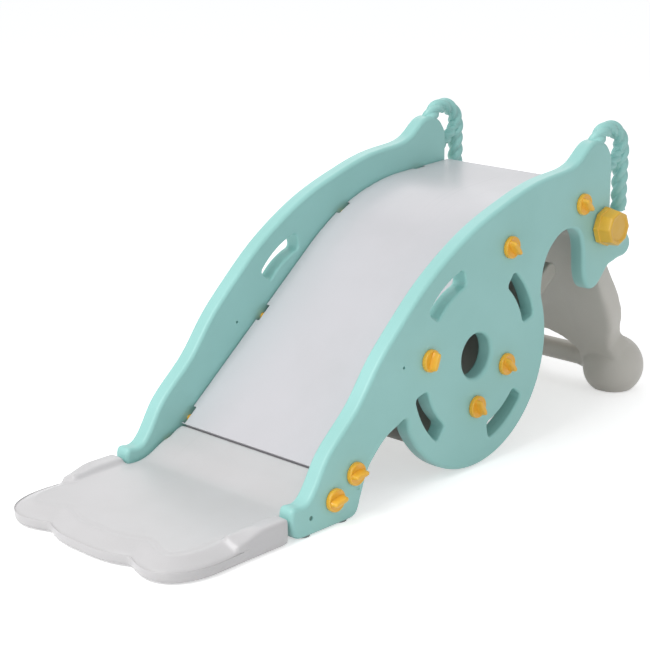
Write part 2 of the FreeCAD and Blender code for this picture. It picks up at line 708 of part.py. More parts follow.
# ---------------------------------------------------------------- wing bolts and sockets
def wing_bolt(name, x, z, angle, side):
    """A large plastic bolt: domed head with a finger grip, and a coarse threaded shank."""
    body = new_body(name)
    radius, head = v.bolt_radius, v.bolt_head_radius
    root = radius - v.thread_depth
    turns = int(v.bolt_reach / v.thread_pitch)
    tip = -SHANK
    rim = [point(0, v.bolt_head_height), point(head - 6, v.bolt_head_height), point(head, v.bolt_head_height - 5),
           point(head, 0), point(radius, 0), point(radius, tip + turns * v.thread_pitch)]
    thread = []
    for turn in reversed(range(turns)):
        base = tip + turn * v.thread_pitch
        thread += [point(root, base + v.thread_pitch * 0.75), point(root, base + v.thread_pitch * 0.5),
                   point(radius, base + v.thread_pitch * 0.25)]
        if turn:
            thread.append(point(radius, base))
    corners = rim + thread + [point(root, tip), point(0, tip)]
    profile = new_sketch(body, "profile", polygon(corners))
    spun = body.newObject("PartDesign::Revolution", "turned")
    spun.Profile = profile
    spun.ReferenceAxis = (profile, ["V_Axis"])
    spun.Angle = 360
    profile.Visibility = False
    width, length = v.bolt_grip_width / 2, head - 3
    grip = [line(point(-length + width, -width), point(length - width, -width)),
            arc(point(length - width, -width), point(length, 0), point(length - width, width)),
            line(point(length - width, width), point(-length + width, width)),
            arc(point(-length + width, width), point(-length, 0), point(-length + width, -width))]
    sketch = new_sketch(body, "grip_outline", grip, "XY_Plane", "Sizes.bolt_head_height - 1")
    extrude(body, "Pad", "grip", sketch, "Sizes.bolt_grip_height + 1", False)
    outward = Vector(0, SIDES[side], 0)
    across = Vector(math.cos(math.radians(angle)), 0, math.sin(math.radians(angle)))
    body.Placement = Placement(Vector(), Rotation(across, Vector(), outward, "ZXY"))
    place(body, f"{WHEEL_X_EXPR} + {x}", f"{SIDES[side]} * ({OUTER_EXPR} + Sizes.bolt_seat)", str(z))
    return body


def all_bolts():
    """Every wing bolt place with a name."""
    return [(f"{what}_{index}", x, z, angle) for what, places in BOLTS.items()
            for index, (x, z, angle) in enumerate(places, start=1)]


def bolt_socket(name, x, z, side):
    """A threaded socket pressed into the side of the chute or brace."""
    sign = SIDES[side]
    mouth = f"{sign} * ({INNER_EXPR} - Sizes.side_gap - Sizes.socket_recess)"
    inward = (0, -sign, 0)
    parts = [cylinder(f"{name}_body", "Sizes.bolt_radius + Sizes.socket_wall", "Sizes.bolt_reach", axis=inward),
             cylinder(f"{name}_hole", "Sizes.bolt_radius + Sizes.socket_fit", "Sizes.bolt_reach", axis=inward)]
    for item in parts:
        place(item, f"{WHEEL_X_EXPR} + {x}", mouth, str(z))
    return cut(name, *parts)


def seam_screws():
    """Screws through the run-out's ledge into the upper chute."""
    slope = math.radians(v.incline_angle)
    up = Vector(-math.sin(slope), 0, math.cos(slope))
    low = under_ledge()
    screws = []
    for step in SEAM_STEPS:
        head = cylinder(f"seam_head_{step + 2}", "Sizes.seam_screw_head", "Sizes.seam_screw_radius")
        shank = cylinder(f"seam_shank_{step + 2}", "Sizes.seam_screw_radius", SCREW_LENGTH)
        head.setExpression("Placement.Base.z", "-Sizes.seam_screw_radius")
        screw = fuse(f"seam_screw_{step + 2}", [head, shank])
        screw.Placement = Placement(Vector(), Rotation(Vector(0, 0, 1), up))
        place(screw, f"{WHEEL_X_EXPR} + {low.x}", f"{step} * Sizes.seam_screw_spacing", str(low.y))
        screws.append(screw)
    return group("seam_screws", screws)


def under_ledge():
    """Middle of the underside of the ledge, where the seam screws' heads bear."""
    slope = math.radians(v.incline_angle)
    down = Vector(math.sin(slope), -math.cos(slope), 0)
    along = Vector(math.cos(slope), math.sin(slope), 0)
    depth = v.chute_thickness + v.seat_gap + v.ledge_thickness
    return point(v.seam_x, surface(v.seam_x)) + down * depth + along * (v.ledge_reach / 2)


# ---------------------------------------------------------------- ladder
def ladder_outline():
    """Half outline of the ladder board, from the top middle down its side and back along the opening."""
    foot = LADDER_HALF - v.foot_radius
    reach = LADDER_LENGTH
    side = [(LADDER_HALF, -0.35 * reach), (LADDER_HALF - 1, -0.55 * reach), (LADDER_HALF - 8, -0.66 * reach),
            (LADDER_HALF - 22, -0.75 * reach), (LADDER_HALF - 26, -0.82 * reach), (foot + 32, -0.9 * reach),
            (foot + 20, -1.0 * reach)]
    opening = [(foot - 22, -1.03 * reach), (foot - 48, -0.96 * reach), (foot - 68, -0.89 * reach),
               (foot - 96, -0.83 * reach), (0, -0.79 * reach)]
    return side, opening


def ladder():
    """The fold-in ladder: a broad board with necked sides, club feet, a bottom rung and a pivot barrel."""
    body = new_body("ladder_board")
    side, opening = ladder_outline()
    top = -5.0
    right = [point(y, z) for y, z in side]
    inner = [point(y, z) for y, z in opening]
    left = [point(-p.x, p.y) for p in right]
    inner_left = [point(-p.x, p.y) for p in inner[:-1]]
    outline = [
        line(point(-LADDER_HALF, top), point(LADDER_HALF, top)),
        line(point(LADDER_HALF, top), right[0]),
        spline(right),
        line(right[-1], inner[0]),
        spline(inner + inner_left[::-1]),
        line(inner_left[0], left[-1]),
        spline(left[::-1]),
        line(left[0], point(-LADDER_HALF, top)),
    ]
    extrude(body, "Pad", "board", new_sketch(body, "outline", outline, "YZ_Plane"), "Sizes.ladder_thickness")
    half = f"{INNER_EXPR} - Sizes.ladder_side_gap"
    barrel = cylinder("ladder_barrel", "Sizes.head_radius", f"2 * ({half})", axis=(0, 1, 0))
    place(barrel, y=f"-({half})")
    rung = cylinder("ladder_rung", "Sizes.rung_radius", f"2 * ({half} - Sizes.foot_radius)", axis=(0, 1, 0))
    place(rung, y=f"-({half} - Sizes.foot_radius)", z=f"-{LADDER_LENGTH_EXPR} * {RUNG_SHARE}")
    feet = []
    for name, sign in SIDES.items():
        foot = doc.addObject("Part::Sphere", f"foot_{name}")
        foot.setExpression("Radius", "Sizes.foot_radius")
        place(foot, y=f"{sign} * ({half} - Sizes.foot_radius)", z=f"-{LADDER_LENGTH_EXPR}")
        feet.append(foot)
    solid = fuse("ladder_solid", [body, barrel, rung] + feet)
    solid.Placement = Placement(Vector(), Rotation(Vector(0, -1, 0), v.ladder_tilt))
    solid.setExpression("Placement.Rotation.Angle", "Sizes.ladder_tilt")
    place(solid, PIVOT_X_EXPR, z=PIVOT_Z_EXPR)
    heel = doc.addObject("Part::Box", "ladder_heel")
    heel_front = "(Sizes.stop_beam_back - Sizes.stop_beam_width - Sizes.seat_gap)"
    heel.setExpression("Length", f"{heel_front} - Sizes.tube_radius")
    heel.setExpression("Width", "Sizes.heel_width")
    heel.setExpression("Height", "Sizes.heel_height")
    place(heel, f"{PIVOT_X_EXPR} - {heel_front}", "-Sizes.heel_width / 2", f"{PIVOT_Z_EXPR} + Sizes.heel_rise")
    tools = []
    for name, sign in SIDES.items():
        recess = cylinder(f"pad_recess_{name}", "Sizes.pad_radius + Sizes.pad_fit",
                          "Sizes.pad_thickness + Sizes.pad_fit")
        place(recess, f"{PIVOT_X_EXPR} + {FOOT_X_EXPR}", f"{sign} * ({half} - Sizes.foot_radius)")
        tools.append(recess)
    bore = cylinder("ladder_bore", "Sizes.tube_radius + Sizes.turning_fit", "2 * Sizes.panel_spacing", axis=(0, 1, 0))
    place(bore, PIVOT_X_EXPR, "-Sizes.panel_spacing", PIVOT_Z_EXPR)
    return cut("ladder", fuse("ladder_with_heel", [solid, heel]), fuse("ladder_tools", tools + [bore]))


def ladder_step(name, share):
    """One tread on the outer face of the ladder, level when the ladder is open."""
    body = new_body(f"ladder_step_{name}")
    down = Vector(math.sin(TILT), -math.cos(TILT), 0)
    out = Vector(math.cos(TILT), math.sin(TILT), 0)
    back = down * (LADDER_LENGTH * share) + out * (v.ladder_thickness / 2)
    back_low = back + down * (v.step_thickness * 2.2)
    front = back + Vector(v.step_depth, 0, 0)
    nose = front + Vector(v.step_thickness / 2, -v.step_thickness / 2, 0)
    outline = [
        line(back, front),
        arc(front, nose, front - Vector(0, v.step_thickness, 0)),
        line(front - Vector(0, v.step_thickness, 0), back_low),
        line(back_low, back),
    ]
    extrude(body, "Pad", "tread", new_sketch(body, "profile", outline), "Sizes.step_width")
    half = v.step_width / 2
    round_edges(body, "ends", "Sizes.step_round", lambda edge: on_side(half)(edge) and not against(edge, back, down))
    place(body, PIVOT_X_EXPR, z=PIVOT_Z_EXPR)
    return body


# ---------------------------------------------------------------- pivot
def pivot_tube():
    """Steel tube through both panels and the ladder head."""
    reach = f"({OUTER_EXPR} + Sizes.washer_thickness + Sizes.cap_bore_depth - 2)"
    parts = [cylinder("tube_outside", "Sizes.tube_radius", f"2 * {reach}", axis=(0, 1, 0)),
             cylinder("tube_inside", "Sizes.tube_radius - Sizes.tube_wall", f"2 * {reach}", axis=(0, 1, 0))]
    for item in parts:
        place(item, PIVOT_X_EXPR, f"-{reach}", PIVOT_Z_EXPR)
    return cut("pivot_tube", *parts)


def pivot_bush(side):
    """Flanged plastic bush between the pivot tube and a panel, its flange on the inside."""
    sign = SIDES[side]
    sleeve = cylinder(f"bush_sleeve_{side}", "Sizes.tube_radius + Sizes.bush_wall - Sizes.seat_gap / 3",
                      "Sizes.panel_thickness + Sizes.bush_flange", axis=(0, sign, 0))
    flange = cylinder(f"bush_flange_{side}", "Sizes.tube_radius + Sizes.bush_wall + Sizes.bush_flange_width",
                      "Sizes.bush_flange", axis=(0, sign, 0))
    hole = cylinder(f"bush_hole_{side}", "Sizes.tube_radius + Sizes.turning_fit", "Sizes.panel_thickness * 2",
                    axis=(0, sign, 0))
    for item in (sleeve, flange, hole):
        place(item, PIVOT_X_EXPR, f"{sign} * ({INNER_EXPR} - Sizes.bush_flange)", PIVOT_Z_EXPR)
    return cut(f"pivot_bush_{side}", fuse(f"bush_solid_{side}", [sleeve, flange]), hole)


def clamp_washer(side):
    """Washer between a clamp knob and its panel."""
    sign = SIDES[side]
    parts = [cylinder(f"washer_disc_{side}", "Sizes.washer_radius", "Sizes.washer_thickness", axis=(0, sign, 0)),
             cylinder(f"washer_hole_{side}", "Sizes.tube_radius + Sizes.seat_gap", "Sizes.washer_thickness",
                      axis=(0, sign, 0))]
    for item in parts:
        place(item, PIVOT_X_EXPR, f"{sign} * {OUTER_EXPR}", PIVOT_Z_EXPR)
    return cut(f"clamp_washer_{side}", *parts)


def clamp_knob(side):
    """Octagonal hand knob on the end of the pivot tube, with a dished front and a blind bore."""
    body = new_body(f"clamp_knob_{side}")

    def octagon(radius):
        turns = [math.radians(CAP_TURN + 360 / CAP_SIDES * step) for step in range(CAP_SIDES)]
        return polygon([point(radius * math.cos(turn), radius * math.sin(turn)) for turn in turns])

    back = new_sketch(body, "back", octagon(v.cap_radius), "XY_Plane")
    taper = extrude(body, "Pad", "taper", back, "Sizes.cap_height", False)
    taper.setExpression("TaperAngle", "-atan((Sizes.cap_radius - Sizes.cap_front_radius) / Sizes.cap_height)")
    round_edges(body, "corners", "Sizes.cap_corner", lambda edge: not flat_at(edge, "Z", 0))
    dish = new_sketch(body, "dish", [circle(0, 0, v.cap_front_radius - DISH_RIM)], "XY_Plane", "Sizes.cap_height")
    extrude(body, "Pocket", "dish_cut", dish, "Sizes.cap_dish", False)
    bore = new_sketch(body, "bore", [circle(0, 0, v.tube_radius)], "XY_Plane")
    bind_radius(bore, 0, "Sizes.tube_radius + Sizes.turning_fit")
    extrude(body, "Pocket", "tube_bore", bore, "Sizes.cap_bore_depth", False, True)
    outward = Vector(0, SIDES[side], 0)
    body.Placement = Placement(Vector(), Rotation(Vector(0, 0, 1), outward))
    seat = f"({OUTER_EXPR} + Sizes.washer_thickness + Sizes.seat_gap)"
    place(body, PIVOT_X_EXPR, f"{SIDES[side]} * {seat}", PIVOT_Z_EXPR)
    return body


# ---------------------------------------------------------------- floor pads
def floor_pads(label, places, spread):
    """Round rubber pads that everything stands on."""
    pads = []
    for index, x in enumerate(places, start=1):
        for name, sign in SIDES.items():
            pad = cylinder(f"{label}_{index}_{name}", "Sizes.pad_radius", "Sizes.pad_thickness")
            place(pad, x, f"{sign} * ({spread})")
            pads.append(pad)
    return group(label, pads)


def build():
    """Makes every sub-part and returns them in order."""
    nodes = []
    for side in SIDES:
        nodes += [side_panel(side), rope_handle(side)]
        bolts = [wing_bolt(f"wing_bolt_{name}_{side}", x, z, angle, side) for name, x, z, angle in all_bolts()]
        sockets = [bolt_socket(f"socket_{name}_{side}", x, z, side) for name, x, z, _ in all_bolts()]
        nodes += [group(f"wing_bolts_{side}", bolts), group(f"bolt_sockets_{side}", sockets)]
        nodes += [pivot_bush(side), clamp_washer(side), clamp_knob(side)]
    nodes += [vent_plugs(), chute_upper(), run_out(), seam_screws(), brace_board(), rear_beam()]
    nodes += [pivot_tube(), ladder(), ladder_step("upper", 0.24), ladder_step("lower", 0.62)]
    foot_spread = f"{INNER_EXPR} - Sizes.ladder_side_gap - Sizes.foot_radius"
    nodes.append(floor_pads("ladder_foot_pads", [f"{PIVOT_X_EXPR} + {FOOT_X_EXPR}"], foot_spread))
    nodes.append(floor_pads("panel_foot_pads", [f"{WHEEL_X_EXPR} + {x}" for x in PANEL_PADS],
                            "Sizes.panel_spacing / 2"))
    nodes.append(floor_pads("run_out_pads", [f"{WHEEL_X_EXPR} - Sizes.front_reach + {x}" for x in RUN_OUT_PADS],
                            f"Sizes.panel_spacing * {PAD_SPREAD}"))
    doc.recompute()
    return nodes


def write(nodes):
    """Checks every object and writes one file per sub-part."""
    for item in doc.Objects:
        if "Invalid" in item.State or "Error" in item.State:
            raise RuntimeError(f"{item.Label}: {item.State}")
    os.makedirs("parts", exist_ok=True)
    for node in nodes:
        if node.Shape.isNull() or not node.Shape.isValid():
            raise RuntimeError(f"{node.Label} has no valid shape")
        node.Shape.exportStep(f"parts/{node.Label}.step")
        print(f"{node.Label}: {len(node.Shape.Solids)} solids, {node.Shape.Volume / 1000:.0f} cm3")


write(build())
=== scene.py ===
"""Looks of a toddler slide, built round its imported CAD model.

Every piece is in metres, in the CAD frame: origin on the floor, +X towards the ladder, +Z up.
"""
import json
import logging
import math
from dataclasses import dataclass, field
from enum import Enum
from typing import Callable, Iterable, Optional, Sequence, Union

import bmesh
import bpy
import numpy as np
from mathutils import Matrix, Vector
from mathutils.geometry import tessellate_polygon


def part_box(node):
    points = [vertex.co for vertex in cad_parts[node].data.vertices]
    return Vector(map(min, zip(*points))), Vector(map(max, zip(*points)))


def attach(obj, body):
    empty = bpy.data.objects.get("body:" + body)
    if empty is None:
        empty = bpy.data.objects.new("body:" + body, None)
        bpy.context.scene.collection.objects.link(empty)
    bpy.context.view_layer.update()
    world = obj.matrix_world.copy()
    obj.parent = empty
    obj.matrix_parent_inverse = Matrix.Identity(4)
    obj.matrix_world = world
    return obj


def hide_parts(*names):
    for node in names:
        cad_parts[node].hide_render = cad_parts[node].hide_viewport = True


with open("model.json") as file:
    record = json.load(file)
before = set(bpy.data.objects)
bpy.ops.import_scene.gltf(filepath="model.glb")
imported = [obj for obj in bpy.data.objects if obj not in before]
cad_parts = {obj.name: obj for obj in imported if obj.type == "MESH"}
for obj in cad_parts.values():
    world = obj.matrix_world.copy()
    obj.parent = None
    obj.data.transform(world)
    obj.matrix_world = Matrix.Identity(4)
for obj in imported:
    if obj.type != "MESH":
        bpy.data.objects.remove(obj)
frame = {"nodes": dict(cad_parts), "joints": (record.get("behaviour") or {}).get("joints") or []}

log = logging.getLogger("toddler_slide")
Colour = tuple[float, float, float]


class Side(Enum):
    """The two sides of the slide, as the sign of Y."""

    LEFT = -1
    RIGHT = 1

    @property
    def word(self) -> str:
        """The side's name as the CAD nodes have it."""
        return self.name.lower()


class Rides(Enum):
    """The moving bodies of the slide."""

    FRAME = "frame"
    LADDER = "ladder"
    CLAMP_LEFT = "clamp_left"
    CLAMP_RIGHT = "clamp_right"


def srgb(red: int, green: int, blue: int) -> Colour:
    """A display colour of 0 to 255 as linear light."""
    shares = (channel / 255 for channel in (red, green, blue))
    return tuple(s / 12.92 if s <= 0.04045 else ((s + 0.055) / 1.055) ** 2.4 for s in shares)


# ---------------------------------------------------------------- shader maths
class Flow:
    """A shader socket that adds Math nodes when it is used in an expression."""

    def __init__(self, tree: bpy.types.NodeTree, socket: bpy.types.NodeSocket) -> None:
        """Wraps an output socket of a tree."""
        self.tree = tree
        self.socket = socket

    def _join(self, kind: str, first: "Term", second: "Term") -> "Flow":
        """Adds one Math node.

        Args:
            kind: the node's operation.
            first: a number or a socket.
            second: a number or a socket.

        Returns:
            The node's result.
        """
        node = self.tree.nodes.new("ShaderNodeMath")
        node.operation = kind
        for socket, term in zip(node.inputs, (first, second)):
            if isinstance(term, Flow):
                self.tree.links.new(term.socket, socket)
            else:
                socket.default_value = term
        return Flow(self.tree, node.outputs[0])

    def __add__(self, other: "Term") -> "Flow":
        """Sum."""
        return self._join("ADD", self, other)

    __radd__ = __add__

    def __sub__(self, other: "Term") -> "Flow":
        """Difference."""
        return self._join("SUBTRACT", self, other)

    def __rsub__(self, other: float) -> "Flow":
        """Difference from a number."""
        return self._join("SUBTRACT", other, self)

    def __mul__(self, other: "Term") -> "Flow":
        """Product."""
        return self._join("MULTIPLY", self, other)

    __rmul__ = __mul__


Term = Union[Flow, float]


class Shader:
    """A material under construction, with one Principled surface."""

    def __init__(self, name: str) -> None:
        """Makes the material with an empty tree, its surface and its output."""
        self.material = bpy.data.materials.new(name)
        self.material.use_nodes = True
        self.tree = self.material.node_tree
        self.tree.nodes.clear()
        self.surface = self.tree.nodes.new("ShaderNodeBsdfPrincipled")
        output = self.tree.nodes.new("ShaderNodeOutputMaterial")
        self.tree.links.new(self.surface.outputs[0], output.inputs[0])

    def node(self, kind: str, settings: Optional[dict] = None, values: Optional[dict] = None,
             output: Union[int, str] = 0) -> Flow:
        """Adds a node.

        Args:
            kind: the node's type.
            settings: its properties, set first.
            values: its sockets by name or number, each a value or a socket to link.
            output: the output wanted.

        Returns:
            That output.
        """
        made = self.tree.nodes.new(kind)
        for name, value in (settings or {}).items():
            setattr(made, name, value)
        for name, value in (values or {}).items():
            if isinstance(value, Flow):
                self.tree.links.new(value.socket, made.inputs[name])
            else:
                made.inputs[name].default_value = value
        return Flow(self.tree, made.outputs[output])

    def place(self, scale: Sequence[float] = (1, 1, 1), turn: Sequence[float] = (0, 0, 0)) -> Flow:
        """Object coordinates, turned and scaled.

        Args:
            scale: along each axis, after turning.
            turn: in radians.

        Returns:
            The coordinates.
        """
        at = self.node("ShaderNodeTexCoord", output="Object")
        return self.node("ShaderNodeMapping", {"vector_type": "POINT"},
                         {"Vector": at, "Scale": scale, "Rotation": turn})

    def noise(self, at: Flow, scale: float, detail: float = 2.0) -> Flow:
        """Noise about one half.

        Args:
            at: coordinates.
            scale: lumps per metre.
            detail: octaves.

        Returns:
            The noise.
        """
        return self.node("ShaderNodeTexNoise", values={"Vector": at, "Scale": scale, "Detail": detail})

    def blend(self, share: Term, low: Union[Flow, Colour], high: Union[Flow, Colour]) -> Flow:
        """A mix of two colours.

        Args:
            share: of the second colour.
            low: the first colour.
            high: the second colour.

        Returns:
            The colour.
        """
        sides = [side if isinstance(side, Flow) else (*side, 1.0) for side in (low, high)]
        return self.node("ShaderNodeMix", {"data_type": "RGBA", "clamp_factor": True},
                         {0: share, 6: sides[0], 7: sides[1]}, 2)

    def band(self, value: Flow, start: float, end: float) -> Flow:
        """A smooth step from 0 at start to 1 at end."""
        return self.node("ShaderNodeMapRange", {"interpolation_type": "SMOOTHSTEP"},
                         {"Value": value, "From Min": start, "From Max": end})

    def feed(self, **values: Union[Flow, float, Sequence[float]]) -> None:
        """Sets or links sockets of the surface; underscores stand for spaces."""
        for name, value in values.items():
            socket = self.surface.inputs[name.replace("_", " ")]
            if isinstance(value, Flow):
                self.tree.links.new(value.socket, socket)
            else:
                socket.default_value = value

    def relief(self, height: Flow, depth: float, strength: float = 1.0) -> None:
        """Feeds a height to the surface's normal."""
        bump = self.node("ShaderNodeBump", values={"Height": height, "Distance": depth, "Strength": strength})
        self.feed(Normal=bump)


# ---------------------------------------------------------------- finishes
@dataclass(frozen=True)
class Moulded:
    """A moulded plastic: cloudy colour, fine grain from the mould and slow waves from cooling."""

    name: str
    colour: Colour
    cloud: Colour
    roughness: float = 0.42
    grain: float = 1100.0
    grain_depth: float = 0.00006
    wave_depth: float = 0.0006
    coat: float = 0.08
    scuffs: float = 0.0
    scuff_turn: float = 0.0

    def make(self) -> bpy.types.Material:
        """Builds the material."""
        shader = Shader(self.name)
        at = shader.place()
        cloud = shader.noise(at, 5.0, 4.0)
        fleck = shader.noise(at, 420.0, 2.0)
        grain = shader.noise(at, self.grain, 3.0)
        wave = shader.noise(at, 9.0, 1.0)
        tone = shader.band(cloud, 0.3, 0.72) * 0.75 + (fleck - 0.5) * 0.5
        colour = shader.blend(tone, self.colour, self.cloud)
        rough = self.roughness + (cloud - 0.5) * 0.14 + (grain - 0.5) * 0.1
        height = grain * self.grain_depth + wave * self.wave_depth
        if self.scuffs:
            along = shader.place((2.5, 240.0, 2.5), (0.0, self.scuff_turn, 0.0))
            streak = shader.band(shader.noise(along, 1.0, 3.0), 0.6, 0.72)
            patch = shader.band(shader.noise(at, 2.6, 2.0), 0.45, 0.7)
            worn = streak * patch * self.scuffs
            rough = rough + worn * 0.3
            colour = shader.blend(worn * 0.35, colour, tuple(0.8 * c for c in self.colour))
            height = height - worn * 0.00004
        shader.feed(Base_Color=colour, Roughness=rough, IOR=1.48)
        shader.feed(Coat_Weight=self.coat, Coat_Roughness=0.25)
        shader.relief(height * 1000.0, 0.001)
        return shader.material


@dataclass(frozen=True)
class Metal:
    """A drawn or plated steel."""

    name: str
    colour: Colour
    roughness: float

    def make(self) -> bpy.types.Material:
        """Builds the material."""
        shader = Shader(self.name)
        lines = shader.noise(shader.place((900.0, 12.0, 900.0)), 1.0, 3.0)
        spots = shader.noise(shader.place(), 60.0, 3.0)
        shader.feed(Base_Color=shader.blend(spots, self.colour, tuple(0.82 * c for c in self.colour)), Metallic=1.0)
        shader.feed(Roughness=self.roughness + (lines - 0.5) * 0.25)
        shader.relief(lines, 0.00002)
        return shader.material


@dataclass(frozen=True)
class Rubber:
    """A matt rubber with a dusty face."""

    name: str
    colour: Colour

    def make(self) -> bpy.types.Material:
        """Builds the material."""
        shader = Shader(self.name)
        at = shader.place()
        dust = shader.noise(at, 90.0, 4.0)
        pits = shader.noise(at, 1500.0, 2.0)
        pale = tuple(min(1.0, c * 1.9) for c in self.colour)
        shader.feed(Base_Color=shader.blend(shader.band(dust, 0.45, 0.75) * 0.6, self.colour, pale))
        shader.feed(Roughness=0.78 + (dust - 0.5) * 0.2)
        shader.relief(pits, 0.00005)
        return shader.material


class Finish(Enum):
    """Every finish of the slide."""

    PANEL = Moulded("mint_panel_plastic", srgb(163, 217, 212), srgb(156, 210, 204), 0.40)
    CHUTE = Moulded("pale_chute_plastic", srgb(208, 206, 210), srgb(201, 200, 203), 0.34, coat=0.15,
                    scuffs=0.8, scuff_turn=math.radians(39))
    RUN_OUT = Moulded("pale_run_out_plastic", srgb(208, 206, 207), srgb(201, 199, 199), 0.36, coat=0.12,
                      scuffs=0.6)
    LADDER = Moulded("warm_grey_ladder_plastic", srgb(214, 210, 202), srgb(206, 202, 193), 0.44)
    # Painted shade: the brace board and the rear beam are pale plastic given the darker warm grey it shows in shade.
    BOARD = Moulded("grey_board_plastic", srgb(178, 174, 165), srgb(168, 164, 154), 0.5)
    WING_BOLT = Moulded("amber_bolt_plastic", srgb(254, 194, 62), srgb(246, 180, 44), 0.3, 1600.0, 0.00003, 0.0, 0.2)
    CLAMP_KNOB = Moulded("yellow_knob_plastic", srgb(240, 190, 66), srgb(231, 177, 54), 0.34, 1400.0, 0.00004, 0.0,
                         0.15)
    SOCKET = Moulded("amber_socket_plastic", srgb(226, 160, 40), srgb(214, 148, 32), 0.4, 1600.0, 0.00003, 0.0)
    WASHER = Moulded("natural_washer_plastic", srgb(205, 204, 198), srgb(196, 195, 188), 0.45, 1600.0, 0.00003, 0.0)
    # Painted shade: the vent plugs are a dark mint that stands for the shade inside the panels' vent recesses.
    PLUG = Moulded("dark_mint_plug_plastic", srgb(92, 136, 128), srgb(82, 124, 116), 0.5, 1600.0, 0.00003, 0.0)
    TUBE = Metal("drawn_steel", srgb(190, 191, 194), 0.32)
    SCREW = Metal("zinc_plated_steel", srgb(200, 198, 192), 0.38)
    PAD = Rubber("grey_rubber", srgb(140, 150, 148))

    @property
    def material(self) -> bpy.types.Material:
        """The finish's material, built at its first use."""
        return bpy.data.materials.get(self.value.name) or self.value.make()


# ---------------------------------------------------------------- meshes
def link(name: str, mesh: bpy.types.Mesh, finish: Finish) -> bpy.types.Object:
    """Puts a mesh in the scene with one finish.

    Args:
        name: the piece's name.
        mesh: in the CAD frame.
        finish: its finish.

    Returns:
        The new object.
    """
    mesh.name = name
    mesh.materials.clear()
    mesh.materials.append(finish.material)
    made = bpy.data.objects.new(name, mesh)
    bpy.context.scene.collection.objects.link(made)
    return made


def welded(name: str, nodes: Sequence[str], finish: Finish, flat: float = 0.2) -> bpy.types.Object:
    """A merged copy of CAD nodes, so that the nodes themselves stay as they are.

    Args:
        name: the new piece's name.
        nodes: the CAD nodes to copy.
        finish: its finish.
        flat: faces within this many degrees of each other become one.

    Returns:
        The copy.
    """
    work = bmesh.new()
    for node in nodes:
        work.from_mesh(frame["nodes"][node].data)
    bmesh.ops.remove_doubles(work, verts=work.verts, dist=2e-6)
    if flat:
        bmesh.ops.dissolve_limit(work, angle_limit=math.radians(flat), verts=work.verts, edges=work.edges)
    mesh = bpy.data.meshes.new(name)
    work.to_mesh(mesh)
    work.free()
    return link(name, mesh, finish)


def finished(piece: bpy.types.Object) -> bpy.types.Object:
    """Turns a piece and its modifiers into a plain mesh."""
    bpy.context.view_layer.update()
    result = piece.evaluated_get(bpy.context.evaluated_depsgraph_get())
    mesh = bpy.data.meshes.new_from_object(result)
    mesh.name = piece.name
    piece.modifiers.clear()
    piece.data = mesh
    return piece


def smooth(piece: bpy.types.Object, angle: float = 34.0) -> bpy.types.Object:
    """Shades a piece smoothly, with creases over an angle, and evens its normals by face size."""
    piece.data.shade_smooth()
    piece.data.set_sharp_from_angle(angle=math.radians(angle))
    even = piece.modifiers.new("even", "WEIGHTED_NORMAL")
    even.keep_sharp = True
    return finished(piece)


def eased(piece: bpy.types.Object, width: float, segments: int = 3, angle: float = 35.0) -> bpy.types.Object:
    """Rounds a piece's sharp edges.

    Args:
        piece: the piece.
        width: of the round.
        segments: of the round.
        angle: edges sharper than this are rounded.

    Returns:
        The piece, shaded.
    """
    bevel = piece.modifiers.new("ease", "BEVEL")
    bevel.width = width
    bevel.segments = segments
    bevel.limit_method = "ANGLE"
    bevel.angle_limit = math.radians(angle)
    bevel.miter_outer = "MITER_ARC"
    return smooth(finished(piece))


def softened(piece: bpy.types.Object, voxel: float, passes: int) -> bpy.types.Object:
    """Turns a piece into one even skin and lets it melt, as a blow moulding's corners do.

    Args:
        piece: the piece.
        voxel: size of the new faces.
        passes: of smoothing.

    Returns:
        The piece.
    """
    remesh = piece.modifiers.new("skin", "REMESH")
    remesh.mode = "VOXEL"
    remesh.voxel_size = voxel
    melt = piece.modifiers.new("melt", "SMOOTH")
    melt.factor = 0.5
    melt.iterations = passes
    finished(piece)
    piece.data.shade_smooth()
    return piece


def vertices(mesh: bpy.types.Mesh) -> np.ndarray:
    """A mesh's vertices, one to a row."""
    points = np.zeros(len(mesh.vertices) * 3, np.float32)
    mesh.vertices.foreach_get("co", points)
    return points.reshape(-1, 3).astype(float)


def loft(name: str, rings: Sequence[np.ndarray], finish: Finish) -> bpy.types.Object:
    """A skin through closed rings of as many points each, with its two ends closed by a middle point.

    Args:
        name: the piece's name.
        rings: each n by 3.
        finish: its finish.

    Returns:
        The piece, its faces outwards.
    """
    work = bmesh.new()
    rows = [[work.verts.new(point) for point in ring] for ring in rings]
    for low, high in zip(rows, rows[1:]):
        for a, b, c, d in zip(low, low[1:] + low[:1], high[1:] + high[:1], high):
            work.faces.new((a, b, c, d))
    for row in (rows[0], rows[-1]):
        middle = work.verts.new(sum((vert.co for vert in row), Vector()) / len(row))
        for a, b in zip(row, row[1:] + row[:1]):
            work.faces.new((a, b, middle))
    bmesh.ops.recalc_face_normals(work, faces=work.faces)
    mesh = bpy.data.meshes.new(name)
    work.to_mesh(mesh)
    work.free()
    return link(name, mesh, finish)


def turned(profile: Iterable[tuple[float, float]], count: int) -> list[np.ndarray]:
    """Rings of a shape turned about Z.

    Args:
        profile: radius and height of each ring.
        count: points to a ring.

    Returns:
        The rings.
    """
    turns = np.linspace(0, 2 * math.pi, count, endpoint=False)
    return [np.stack((r * np.cos(turns), r * np.sin(turns), np.full(count, z)), 1) for r, z in profile]


def islands(mesh: bpy.types.Mesh) -> list[np.ndarray]:
    """The vertices of each loose solid of a CAD node."""
    work = bmesh.new()
    work.from_mesh(mesh)
    bmesh.ops.remove_doubles(work, verts=work.verts, dist=2e-6)
    left = set(work.verts)
    found = []
    while left:
        edge = [left.pop()]
        group = list(edge)
        while edge:
            near = {other for vert in edge for line in vert.link_edges for other in line.verts} & left
            left -= near
            edge = list(near)
            group += edge
        found.append(np.array([vert.co[:] for vert in group]))
    work.free()
    return found


